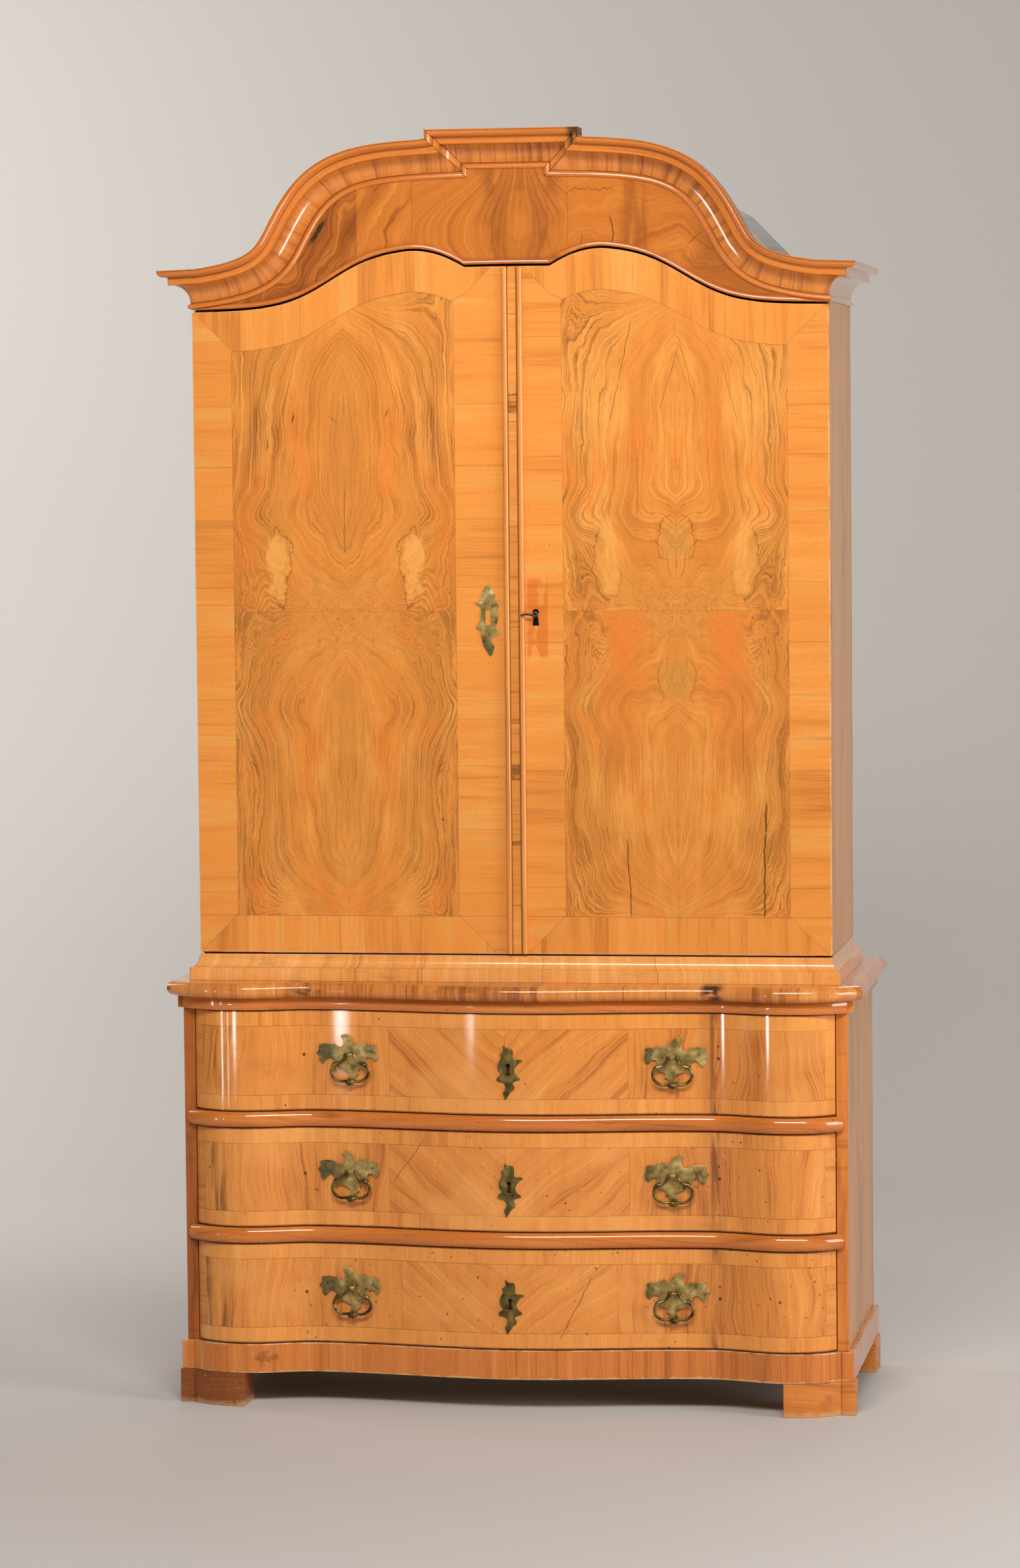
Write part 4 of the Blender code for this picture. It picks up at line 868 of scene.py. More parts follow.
frames = {}
for word in DRAWERS:
    low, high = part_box(word + "_drawer_front")
    for side, where_word in SIDES:
        place = handle_frame(side, (low[2] + high[2]) / 2 + HANDLE_ABOVE_MIDDLE)
        frames[word, where_word] = place
        edge = curved([(side * u / 1000, v / 1000) for u, v in PLATE_EDGE], 4)
        plate = cast_plate([edge], PLATE_THICKNESS, PLATE_ROUND)
        barrel = bmesh.new()
        reeds = []
        for i in range(25):
            u = BARREL_HALF * (i / 12 - 1)
            reed = 0.0006 * abs(math.sin(math.pi * 3 * i / 24))
            reeds.append((u, 0.0034 + reed - 0.0004 * (i in (0, 24))))
        turned(barrel, reeds + [(BARREL_HALF, BARREL_BORE), (-BARREL_HALF, BARREL_BORE)], 20)
        bmesh.ops.translate(barrel, verts=barrel.verts, vec=(0, 0, HANDLE_STAND))
        bmesh.ops.create_cone(
            plate, cap_ends=True, segments=16, radius1=0.0034, radius2=0.0022, depth=0.0062,
            matrix=Matrix.Translation((0, 0, PLATE_THICKNESS + 0.0026)),
        )
        pour(barrel, plate)
        bmesh.ops.transform(plate, matrix=place, verts=plate.verts)
        node = word + "_backplate_" + where_word
        name = word + "_shell_plate_" + where_word
        piece(name, plate, plate_brass, "antique_brass", word + "_drawer", node, crease=40)

# Drop handles
# Cast brass loops that hang from the barrels: two scrolled arms run out to a bead at each shoulder, and a
# plain wire runs on down to a ribbed shell at the bottom, where the fingers pull.
handle_brass = finish(
    "rubbed_handle_brass",
    brass_paint(tint(60, 48, 27), tint(112, 92, 52), tint(176, 152, 100), 0.30, 0.0),
    metal=0.9,
    relief=0.0002,
)
HANDLE_WIRE = 0.0027
HANDLE_PATH = (
    (4.5, 0, 0.75), (7.5, -0.5, 1.25), (10, -6, 0.9), (17, -13, 0.9), (27, -16.5, 1.5), (32, -22, 1.0),
    (33.5, -29, 1.0), (31, -37, 1.0), (25, -43, 1.0), (17, -46, 0.95), (8, -45.5, 1.0), (5, -46.5, 1.5),
)
SHELL_RIBS = 5


def loop_tube(bm, path, sides):
    """A closed tube in the local XY plane along points of (x, y, radius)."""
    rings = []
    for i, (x, y, radius) in enumerate(path):
        before = path[i - 1]
        after = path[(i + 1) % len(path)]
        run = Vector((after[0] - before[0], after[1] - before[1])).normalized()
        ring = []
        for k in range(sides):
            turn = 2 * math.pi * k / sides
            out = radius * math.cos(turn)
            ring.append(bm.verts.new((x - run.y * out, y + run.x * out, radius * math.sin(turn))))
        rings.append(ring)
    for i in range(len(rings)):
        for k in range(sides):
            bm.faces.new((rings[i - 1][k - 1], rings[i - 1][k], rings[i][k], rings[i][k - 1]))


for (word, where_word), place in frames.items():
    path = list(HANDLE_PATH) + [(0, -47, 1.7)] + [(-u, v, r) for u, v, r in reversed(HANDLE_PATH)]
    path = [(u / 1000, v / 1000, r * HANDLE_WIRE) for u, v, r in path]
    loop = bmesh.new()
    loop_tube(loop, curved(path, 5), 14)
    for i in range(SHELL_RIBS):
        lean = math.radians(27 * (i - (SHELL_RIBS - 1) / 2))
        rib = Matrix.Translation((0, -0.0440, 0.0014)) @ Matrix.Rotation(lean, 4, "Z")
        rib = rib @ Matrix.Translation((0, -0.0046, 0)) @ Matrix.Diagonal((0.0019, 0.0056, 0.0034, 1.0))
        bmesh.ops.create_uvsphere(loop, u_segments=12, v_segments=8, radius=1.0, matrix=rib)
    for u in (-1, 1):
        for offset, size in ((0.0, 0.0040), (0.0058, 0.0028)):
            bead = Matrix.Translation((u * (0.0272 - offset), -0.0166 + offset * 0.25, 0.0))
            bead = bead @ Matrix.Diagonal((size * 0.85, size, size, 1.0))
            bmesh.ops.create_uvsphere(loop, u_segments=14, v_segments=9, radius=1.0, matrix=bead)
        scroll = Matrix.Translation((u * 0.0078, -0.0002, 0.0))
        scroll = scroll @ Matrix.Diagonal((0.0034, 0.0038, 0.0036, 1.0))
        bmesh.ops.create_uvsphere(loop, u_segments=14, v_segments=9, radius=1.0, matrix=scroll)
    bmesh.ops.transform(loop, matrix=place @ Matrix.Translation((0, 0, HANDLE_STAND)), verts=loop.verts)
    body = word + "_handle_" + where_word
    node = word + "_drop_handle_" + where_word
    piece(word + "_bail_" + where_word, loop, handle_brass, "antique_brass", body, node, crease=50)

# Drawer escutcheons
# Thin pierced brass in a ragged leaf outline around each keyhole, held by a pin above and one below.
# They have gone a darker, greener brown than the backplates.
escutcheon_brass = finish(
    "green_brown_brass",
    brass_paint(tint(64, 54, 26), tint(108, 92, 44), tint(150, 128, 66), 0.7, 0.0),
    metal=0.6,
    relief=0.0003,
)
LEAF_EDGE = (
    (-8, 40), (-2, 36), (6, 35), (9, 30), (9, 21), (11, 16), (18, 16), (25, 14), (19, 10), (13, 3),
    (11, -3), (14, -11), (21, -17), (17, -20), (11, -21.5), (8, -26), (11, -30), (10, -36), (4.5, -40),
    (-5, -53.5), (-7, -48), (-9, -42), (-5, -36), (-5, -29), (-9, -24), (-19, -21), (-19, -16),
    (-13, -10), (-17, -3), (-18, 6), (-14, 15), (-12, 20), (-14, 25), (-8, 30),
)


def leaf(edge_points, hole, x, y, z):
    """A pierced leaf facing forward, its back at a depth."""
    edge = curved([(u / 1000, v / 1000) for u, v in edge_points], 4)
    bm = cast_plate([edge, hole], PLATE_THICKNESS, PLATE_ROUND)
    facing = Matrix(((1, 0, 0, x), (0, 0, -1, y), (0, 1, 0, z), (0, 0, 0, 1)))
    bmesh.ops.transform(bm, matrix=facing, verts=bm.verts)
    return bm


pin_places = {}
for word in DRAWERS:
    low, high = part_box(word + "_drawer_front")
    key_z = (low[2] + high[2]) / 2 - KEYHOLE_BELOW_MIDDLE
    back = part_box(word + "_drawer_escutcheon")[1][1]
    leaf_piece = leaf(LEAF_EDGE, keyhole(1.0), 0.0, back, key_z)
    node = word + "_drawer_escutcheon"
    name = word + "_leaf_escutcheon"
    piece(name, leaf_piece, escutcheon_brass, "antique_brass", word + "_drawer", node, crease=40)
    front = back - PLATE_THICKNESS
    pin_places[word + "_drawer"] = [(-0.002, front, key_z + 0.032), (-0.001, front, key_z - 0.043)]
    for side, where_word in SIDES:
        for u, v in ((-0.036, 0.006), (0.046, 0.006)):
            spot = frames[word, where_word] @ Vector((side * u, v, PLATE_THICKNESS))
            pin_places[word + "_drawer"].append(tuple(spot))

# Waist moulding
# The cabinet stands in a mitred walnut frame fixed on the chest: a thin fillet, a cove and a flat band,
# veneered across its width on three sides.


def sweep(sections, runs, girths):
    """A moulding drawn through closed sections, with a UV map of its run and its profile."""
    bm = bmesh.new()
    uv = bm.loops.layers.uv.new("run")
    rings = [[bm.verts.new(place) for place in section] for section in sections]
    count = len(rings[0])
    for k in range(len(rings) - 1):
        for i in range(count):
            j = (i + 1) % count
            face = bm.faces.new((rings[k][i], rings[k][j], rings[k + 1][j], rings[k + 1][i]))
            spots = ((k, i), (k, i + 1), (k + 1, i + 1), (k + 1, i))
            for loop, (station, line) in zip(face.loops, spots):
                loop[uv].uv = (runs[station][line % count], girths[line])
    bm.faces.new(rings[0])
    bm.faces.new(rings[-1])
    return bm


def lengths(points):
    total = [0.0]
    for first, second in zip(points, points[1:]):
        total.append(total[-1] + math.dist(first, second))
    return total


def waist_paint(where, run):
    u, v, w = axes(run)
    fibre = grain(v, u, 41.0, 52.0, 420.0)
    shade, joint = leaves(u, 0.21, 13.7)
    colour = wood(fibre + (shade - 0.5) * 0.16, tint(200, 122, 56), tint(234, 158, 82), tint(246, 178, 106))
    colour = mixed(pores(v, u, 6.0) * 0.3, colour, tint(116, 60, 24))
    colour = mixed(joint * 0.5, colour, tint(96, 49, 20))
    smudge = ramp(cloud(point(u * 9.0, v * 30.0, 2.0), 4.0, 0.6), 0.58, 0.74)
    colour = mixed(smudge * 0.35, colour, tint(134, 68, 29))
    return colour, fibre * 0.12 + smudge * 0.08 + 0.22, fibre * 0.2 - joint * 0.5


waist_finish = finish("waist_veneer", waist_paint, coat=0.8, relief=0.0003)
low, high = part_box("waist_moulding")
WAIST_PROUD = 0.016
tall = high[2] - low[2]
profile = [(0.0, tall), (0.0, tall * 0.90)]
for i in range(13):
    turn = math.radians(7.5 * i)
    out = WAIST_PROUD * (0.12 + 0.73 * (1 - math.cos(turn)))
    profile.append((out, tall * (0.88 - 0.38 * math.sin(turn))))
profile += [(WAIST_PROUD, tall * 0.495), (WAIST_PROUD + 0.0002, tall * 0.25), (WAIST_PROUD, 0.0)]
profile += [(-0.030, 0.0), (-0.030, tall)]
CASE_X = high[0] - WAIST_PROUD
DOOR_Y = low[1] + WAIST_PROUD
corners = [(-CASE_X, high[1], -1, 0), (-CASE_X, DOOR_Y, -1, -1)]
corners += [(CASE_X, DOOR_Y, 1, -1), (CASE_X, high[1], 1, 0)]
sections = [[(x + out * u, y + out * v, low[2] + up) for out, up in profile] for x, y, u, v in corners]
runs = [[walk] * len(profile) for walk in lengths([corner[:2] for corner in corners])]
waist = sweep(sections, runs, lengths(profile + profile[:1]))
piece("waist_frame", waist, waist_finish, "walnut_veneer", "carcase", "waist_moulding")

# Cabinet sides
# Upright boards between the waist and the cornice, veneered outside like the chest's sides. The doors
# close over their front edges, and the back is nailed between them.
for side, word in SIDES:
    panel = squared(*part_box("case_side_" + word), 0.0010)
    piece("cabinet_flank_" + word, panel, side_finish, "walnut_veneer", "carcase", "case_side_" + word)

# Cabinet floor, shelves and back
# Bare softwood: a floor board, two shelves with a rounded front edge, and an upright plank back whose top
# is cut to the gable of the roof.
for word in ("case_bottom", "shelf_lower", "shelf_upper"):
    shelf = squared(*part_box(word), 0.0025, 3)
    piece(word + "_board", shelf, bare_across, "bare_softwood", "carcase", word)

SPRING_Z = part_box("frieze_board")[0][2]
ROOF_LINE = ((0.0, 0.246), (0.260, 0.226), (0.376, 0.163), (0.5275, 0.008))
ROOF_DROP = 0.0165


def roof_height(x):
    x = abs(x)
    for (x0, z0), (x1, z1) in zip(ROOF_LINE, ROOF_LINE[1:]):
        if x <= x1:
            return SPRING_Z + z0 + (z1 - z0) * (x - x0) / (x1 - x0)
    return SPRING_Z + ROOF_LINE[-1][1]


knees = sorted({side * x for side, word in SIDES for x, z in ROOF_LINE[:-1]})
planks("cabinet_back_planks", "case_back", 7, lambda x: roof_height(x) - ROOF_DROP, knees)

# Roof boards
# Grey unpainted softwood boards nailed lengthways over the gable, from front to back, with open joints
# where they have shrunk. They only show from the side, above the sweep of the cornice.


def roof_paint(where, run):
    x, y, z = axes(where)
    fibre = grain(y, x - z * 0.7, 51.0, 40.0, 360.0, 0.8)
    colour = wood(fibre, tint(112, 108, 100), tint(160, 156, 146), tint(186, 182, 172))
    dust = mottle(x, y, z, 8.0, 4.0, 0.6)
    colour = mixed(ramp(dust, 0.45, 0.7) * 0.5, colour, tint(140, 134, 124))
    return colour, fibre * 0.1 + 0.74, fibre * 0.7 + dust * 0.2


roof_finish = finish("grey_roof_softwood", roof_paint, relief=0.0007)
low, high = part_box("roof_boards")
ROOF_JOINT = 0.0016
ROOF_THICK = 0.0150
roof = bmesh.new()
rough = random.Random(5)
for side in (-1, 1):
    edges = [0.0]
    for (x0, z0), (x1, z1), count in zip(ROOF_LINE, ROOF_LINE[1:], (2, 1, 2)):
        edges += [x0 + (x1 - x0) * (i + 1) / count for i in range(count)]
    for near, far in zip(edges, edges[1:]):
        near += ROOF_JOINT / 2
        far -= ROOF_JOINT / 2
        sink = rough.uniform(0.0, 0.0012)
        outline = [
            (side * near, roof_height(near) - sink), (side * far, roof_height(far) - sink),
            (side * far, roof_height(far) - ROOF_THICK), (side * near, roof_height(near) - ROOF_THICK),
        ]
        pour(eased(board(outline, low[1] + rough.uniform(0.0, 0.002), high[1], True), 0.0010), roof)
piece("roof_planks", roof, roof_finish, "bare_softwood", "carcase", "roof_boards")

# Frieze board
# A board in one plane with the doors, cut to the arch below and hidden under the cornice above.
# Its veneer is a dark flame, book-matched over the middle, between plainer leaves that have cracked.
ARCH_RISE = 0.1045
ARCH_BEND = CASE_X - 0.245
ARCH_RUN = 0.087
ARCH_PEAK = 0.175
ARCH_FLAT = 0.074
ARCH_DIP = 0.0325
OGEE_RISE = 0.2413
OGEE_BEND = CASE_X - 0.1967
OGEE_RUN = 0.0634
OGEE_UPPER_POWER = 2.0
OGEE_LOWER_POWER = 1.2
OGEE_EAVE = 0.0015
TOUCH = 0.0003
FRIEZE_UNDER = 0.050
FRIEZE_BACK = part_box("frieze_board")[1][1]
FRIEZE_SEAMS = (-0.260, -0.163, 0.106)
FLAME_X = 0.024


def arch(x):
    """Height of the lower edge of the arch bead."""
    dip = min(1.0, max(0.0, (ARCH_PEAK - abs(x)) / (ARCH_PEAK - ARCH_FLAT)))
    climb = 0.5 + 0.5 * math.tanh((ARCH_BEND - abs(x)) / ARCH_RUN)
    return ARCH_BASE + ARCH_RISE * climb - ARCH_DIP * dip ** 2


ARCH_BASE = SPRING_Z - ARCH_RISE * (0.5 + 0.5 * math.tanh((ARCH_BEND - CASE_X) / ARCH_RUN))


def easing(away):
    """A climb from -1 to 1 that turns quicker above the bend than below it."""
    power = OGEE_UPPER_POWER if away > 0 else OGEE_LOWER_POWER
    return away / (1 + abs(away) ** power) ** (1 / power)


def ogee(x):
    """Height of the lower edge of the cornice."""
    climb = easing((OGEE_BEND - abs(x)) / OGEE_RUN) - easing((OGEE_BEND - CASE_X) / OGEE_RUN)
    return ARCH_BASE + OGEE_EAVE + OGEE_RISE / 2 * climb


def ogee_normal(x):
    slope = (ogee(x + 0.0005) - ogee(x - 0.0005)) / 0.001
    size = math.hypot(1.0, slope)
    return -slope / size, 1.0 / size


def frieze_paint(where, run):
    x, y, z = axes(where)
    up = z - SPRING_Z
    sway = cloud(point(x * 9.0, 1.0, z * 7.0), 3.0) - 0.5
    half = abs(x - FLAME_X + sway * 0.030)
    onion = ramp(up, 0.255, 0.13) * 0.68 - ramp(up, 0.115, 0.06) * 0.25 + 0.32
    field = half / onion + sway * 0.034
    flame = grain(z * 0.6, field, 61.0, 70.0, 520.0, 0.5)
    lobe = inside(field, 0.012, 0.058, 0.016)
    lobe = lobe * ramp(cloud(point(field * 60.0, 3.0, z * 9.0), 4.0), 0.34, 0.62)
    heart = lobe + (1 - ramp(half, 0.002, 0.010)) * ramp(up, 0.15, 0.22)
    hair = ramp(cloud(point(field * 300.0, 8.0, z * 6.0), 2.0), 0.60, 0.70) * (1 - ramp(field, 0.09, 0.15))
    swirl = sway * 0.10 + (cloud(point(x * 24.0, 6.0, z * 20.0), 3.0) - 0.5) * 0.016
    side_tone = grain(z * 0.8 + x * 0.5, x * 0.8 - z * 0.5 + swirl, 63.0, 34.0, 360.0, 0.9)
    wavy = grain(x, z + swirl * 1.4, 65.0, 46.0, 330.0, 0.8)
    centre = inside(x, FRIEZE_SEAMS[1], FRIEZE_SEAMS[2])
    tone = side_tone + (flame - side_tone) * centre + (wavy - side_tone) * ramp(x, 0.1058, 0.1062)
    colour = wood(tone, tint(142, 75, 28), tint(196, 112, 42), tint(214, 135, 58))
    colour = mixed(heart * centre * 0.34, colour, tint(104, 58, 27))
    colour = mixed(hair * centre * 0.32, colour, tint(110, 62, 28))
    murk = ramp(cloud(point(half * 22.0, 7.0, z * 15.0), 4.0, 0.65, 0.6), 0.44, 0.66)
    murk = murk * (1 - ramp(half, 0.05, 0.10))
    colour = mixed(murk * 0.42, colour, tint(98, 56, 27))
    streak = stroke(x + sway * 0.04, 0.220, 0.034)
    streak = streak * ramp(cloud(point(x * 90.0, 4.0, z * 9.0), 3.0), 0.32, 0.58)
    cloudy = ramp(side_tone, 0.62, 0.40)
    far = ramp(0 - x, 0.2598, 0.2602) * (cloudy * 0.6 + 0.2)
    far = far + ramp(x, 0.22, 0.36) * ramp(sway, -0.16, 0.12) * 0.5
    colour = mixed(far + streak * 0.5, colour, tint(124, 63, 26))
    colour = mixed(pores(z, x, 8.0) * 0.3, colour, tint(110, 58, 24))
    left_seam, middle_seam, right_seam = FRIEZE_SEAMS
    seams = stroke(x, left_seam, 0.0009) + stroke(x, middle_seam, 0.0009) + stroke(x, right_seam, 0.0007)
    colour = mixed(seams * 0.4, colour, tint(110, 58, 25))
    wander = (cloud(point(x * 52.0, 2.0, 0.0), 3.0, 0.7) - 0.5) * 0.040
    crack = stroke(up - 0.196 + wander, 0.0, 0.0009) * inside(x, 0.108, 0.186, 0.004)
    bow = (up - 0.118) * (up - 0.118) * 6.0 + (cloud(point(1.0, 5.0, z * 90.0), 3.0) - 0.5) * 0.006
    crack = crack + stroke(x - 0.184 + bow, 0.0, 0.0013) * inside(up, 0.104, 0.150, 0.003)
    crack = crack + stroke(x - 0.128 - (up - 0.1) * 0.2, 0.0, 0.0008) * inside(up, 0.098, 0.116, 0.003)
    split = stroke(up - 0.112 - (x - 0.325) * 0.9, 0.0, 0.0010) * inside(x, 0.312, 0.334, 0.004)
    colour = mixed((crack + split) * 0.85, colour, tint(48, 27, 14))
    lean = x + 0.322 - (up - 0.14) * 0.6
    ragged = (cloud(point(x * 150.0, 9.0, z * 150.0), 3.0) - 0.5) * 0.012
    smoke = (1 - ramp(abs(lean + ragged), 0.003, 0.006)) * inside(up, 0.112, 0.150, 0.008)
    colour = mixed(smoke * 0.9, colour, tint(36, 40, 26))
    return colour, tone * 0.12 + 0.24, tone * 0.2 - seams * 0.4 - crack * 1.0


frieze_finish = finish("flame_frieze_veneer", frieze_paint, coat=0.7, relief=0.0003)
outline = [(CASE_X * (i / 100 - 1), arch(CASE_X * (i / 100 - 1))) for i in range(201)]
for i in range(121):
    x = CASE_X * (1 - i / 60)
    across, up = ogee_normal(x)
    x_top = max(-CASE_X, min(CASE_X, x + across * FRIEZE_UNDER))
    outline.append((x_top, ogee(x) + up * FRIEZE_UNDER))
frieze = eased(board(outline, DOOR_Y, FRIEZE_BACK, True), 0.0006, 2, 1.2)
piece("flame_frieze", frieze, frieze_finish, "walnut_veneer", "carcase", "frieze_board")

# Arch bead
# A small half-round walnut bead glued along the lower edge of the frieze, over the doors. It runs out
# under the cornice at both ends.


def bead_paint(where, run):
    x, y, z = axes(where)
    fibre = grain(x, z * 0.7 + y, 71.0, 60.0, 460.0)
    colour = wood(fibre, tint(150, 77, 30), tint(204, 117, 49), tint(224, 145, 71))
    return mixed(pores(x, z + y, 4.0) * 0.3, colour, tint(104, 53, 20)), fibre * 0.14 + 0.2, fibre * 0.2


bead_finish = finish("bead_walnut", bead_paint, coat=0.9, relief=0.0002)
BEAD_HEIGHT = 0.008
BEAD_PROUD = 0.006
BEAD_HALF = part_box("arch_bead")[1][0]
places = sorted([BEAD_HALF * (i / 100 - 1) for i in range(201)] + [-ARCH_FLAT, ARCH_FLAT])
sections = []
for x in places:
    height = min(BEAD_HEIGHT, ogee(x) - arch(x) - TOUCH)
    section = []
    for i in range(13):
        turn = math.radians(-90 + 15 * i)
        out = BEAD_PROUD * math.cos(turn)
        section.append((x, DOOR_Y - TOUCH - out, arch(x) + height * (0.5 + 0.5 * math.sin(turn))))
    sections.append(section)
runs = [[x] * 13 for x in places]
bead = sweep(sections, runs, lengths([(i, 0) for i in range(14)]))
piece("arch_half_round", bead, bead_finish, "walnut_veneer", "carcase", "arch_bead")

# Cornice
# A large moulding swept up in an ogee over each side and returned along the cabinet's flanks: a bead, a
# cavetto veneered across its width in short striped leaves, a fillet, and an ovolo under a thin lip.
CORNICE_HEIGHT = 0.0655
BEAD_UP = 0.0095
STEP_HALF = 0.0667
STEP_RISE = 0.0145
STEP_Z = ogee(STEP_HALF)


def cornice_profile():
    """Outward and upward places of the section, from the bead to the lip and down the back."""
    points = []
    for i in range(13):
        turn = math.radians(-90 + 15 * i)
        points.append((max(0.006 * math.cos(turn), 0.0015), BEAD_UP / 2 * (1 + math.sin(turn))))
    for i in range(19):
        turn = math.radians(5 * i)
        points.append((0.0015 + 0.0245 * (1 - math.cos(turn)), BEAD_UP + TOUCH + 0.0307 * math.sin(turn)))
    points += [(0.034, 0.041), (0.034, 0.0525)]
    for i in range(10):
        turn = math.radians(10 * i)
        points.append((0.038 + 0.012 * math.sin(turn), 0.062 - 0.008 * math.cos(turn)))
    points.append((0.050, CORNICE_HEIGHT))
    points += [(TOUCH, CORNICE_HEIGHT), (TOUCH, 0.0)]
    return points


def striped(u, v, cove, seed):
    """Veneer across the width of the cavetto, and plain walnut along the mouldings above and below it."""
    across = grain(v, u, seed, 60.0, 560.0, 0.3)
    shade, joint = leaves(u, 0.085, seed * 0.29)
    stripe = ramp(cloud(point(v * 2.0, u * 85.0, seed), 3.0, 0.6), 0.46, 0.66) * ramp(shade, 0.30, 0.70)
    banded = wood(across + (shade - 0.5) * 0.16, tint(152, 82, 33), tint(206, 122, 52), tint(224, 146, 72))
    banded = mixed(stripe * 0.55, banded, tint(116, 68, 32))
    banded = mixed(joint * 0.6, banded, tint(92, 47, 20))
    check = ramp(cloud(point(v * 16.0, u * 640.0, seed + 5.0), 2.0, 0.6), 0.63, 0.72)
    banded = mixed(check * 0.4, banded, tint(84, 42, 18))
    along = grain(u, v, seed + 2.0, 90.0, 620.0, 0.4)
    plain = wood(along, tint(156, 81, 32), tint(208, 120, 50), tint(226, 145, 71))
    colour = mixed(cove, plain, banded)
    colour = mixed(pores(v, u, seed * 0.1) * 0.3, colour, tint(104, 55, 22))
    scuff = ramp(cloud(point(u * 24.0, v * 60.0, 5.0), 4.0, 0.66), 0.62, 0.74)
    colour = mixed(scuff * 0.4, colour, tint(122, 60, 25))
    # Painted shade in the creases between the members of the profile, and along the lip's edge a dark line
    # that is partly painted shade and partly dirt
    painted_crease_shade = stroke(v, 0.0150, 0.0012) + stroke(v, 0.0588, 0.0010) + stroke(v, 0.0790, 0.0016)
    painted_crease_shade = painted_crease_shade + stroke(v, 0.0665, 0.0008) * 0.6 + stroke(v, 0.0990, 0.0010) * 0.8
    colour = mixed(painted_crease_shade * 0.75, colour, tint(66, 34, 16))
    return colour, across * 0.12 + scuff * 0.1 + 0.18, across * 0.2 - joint * cove * 0.6 - scuff * 0.2


ring = cornice_profile()
girths = lengths(ring + ring[:1])
TOP_GIRTH = girths[len(ring) - 3]


def dusty(colour, rough, v):
    """Old dust instead of polish on the top of the moulding and behind it."""
    dust = ramp(v, TOP_GIRTH, TOP_GIRTH + 0.002)
    return mixed(dust * 0.6, colour, tint(128, 104, 82)), rough + dust * 0.5, 1 - dust


def cornice_paint(where, run):
    x, y, z = axes(where)
    u, v, w = axes(run)
    colour, rough, height = striped(u, v, inside(v, 0.0155, 0.0585, 0.0006), 81.0)
    mitre = stroke(z - STEP_Z - abs(x) + STEP_HALF, 0.0, 0.0016) * ramp(0.16 - abs(x), 0.0, 0.01)
    corner = stroke(DOOR_Y - y - abs(x) + CASE_X, 0.0, 0.0012) * ramp(abs(x), CASE_X - 0.001, CASE_X)
    colour = mixed((mitre + corner) * 0.7, colour, tint(58, 30, 15))
    colour, rough, polish = dusty(colour, rough, v)
    return colour, rough, height - mitre * 0.6, polish


cornice_finish = finish("ogee_cornice_veneer", cornice_paint, relief=0.0003)
CASE_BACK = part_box("case_side_left")[1][1]
CORNER_RUN = 0.025
for side, word in SIDES:
    start = STEP_HALF + CORNICE_HEIGHT * 1.15
    places = [start + (CASE_X - CORNER_RUN - start) * i / 72 for i in range(73)]
    sections = [[(side * (STEP_HALF + b), DOOR_Y - a, STEP_Z + b) for a, b in ring]]
    runs = [[STEP_HALF + b - start for a, b in ring]]
    for x, walk in zip(places, lengths([(x, ogee(x)) for x in places])):
        across, up = ogee_normal(x)
        sections.append([(side * (x + across * b), DOOR_Y - a, ogee(x) + up * b) for a, b in ring])
        runs.append([walk] * len(ring))
    eave = ogee(CASE_X)
    for y, turn, walk in ((DOOR_Y, 1.0, CORNER_RUN), (CASE_BACK, 0.0, CASE_BACK - DOOR_Y)):
        sections.append([(side * (CASE_X + a), y - a * turn, eave + b) for a, b in ring])
        runs.append([runs[-1][0] + walk] * len(ring))
    moulding = sweep(sections, [[walk * side for walk in row] for row in runs], girths)
    piece("ogee_cornice_" + word, moulding, cornice_finish, "walnut_veneer", "carcase", "cornice_" + word)

# Raised middle of the cornice
# The same moulding steps up in the middle on two short mitred risers. Its cavetto is veneered upright in
# broad stripes, its mitres have opened into dark lines, and the right end has gone green-black.


def middle_paint(where, run):
    x, y, z = axes(where)
    u, v, w = axes(run)
    cove = inside(v, 0.0155, 0.0585, 0.0006)
    beyond = abs(x) - STEP_HALF - z + STEP_Z + STEP_RISE
    riser = ramp(beyond, -0.0002, 0.0002)
    colour, rough, height = striped(x + (z - x) * riser, v, cove, 91.0)
    bar = ramp(cloud(point(v * 3.0, x * 75.0, 2.0), 3.0, 0.6), 0.48, 0.62) * cove * (1 - riser)
    colour = mixed(bar * 0.5, colour, tint(112, 66, 30))
    mitre = stroke(beyond, 0.0, 0.0014) + stroke(beyond, STEP_RISE, 0.0016)
    colour = mixed(mitre * 0.75, colour, tint(52, 27, 14))
    grime_and_painted_shade = ramp(x, 0.108, 0.120) * ramp(mottle(x, y, z, 60.0, 4.0), 0.30, 0.5)
    colour = mixed(grime_and_painted_shade * 0.85, colour, tint(26, 40, 30))
    colour, rough, polish = dusty(colour, rough, v)
    return colour, rough, height - mitre * 0.6, polish


middle_finish = finish("raised_cornice_veneer", middle_paint, relief=0.0003)
STEP_GAP = 0.0003
sections = []
runs = []
for side, rise in ((-1, 0.0), (-1, STEP_RISE), (1, STEP_RISE), (1, 0.0)):
    half = STEP_HALF - STEP_GAP
    sections.append([(side * (half + b), DOOR_Y - a, STEP_Z + rise + b) for a, b in ring])
    runs.append([side * (half + b) for a, b in ring])
middle = sweep(sections, runs, girths)
piece("raised_cornice_middle", middle, middle_finish, "walnut_veneer", "carcase", "cornice_middle")

# Doors
# Flush softwood panels with arched tops, veneered in four book-matched leaves of figured walnut about a
# vertical and a level joint, inside a mitred frame of cross-banding. The right door has old cracks, red
# stains and the ghost of a lost escutcheon around its keyhole.
DOOR_GAP = 0.0040
BAND = 0.066
LEVEL_JOINT = 1.376
PIVOT_ROUND = 0.010


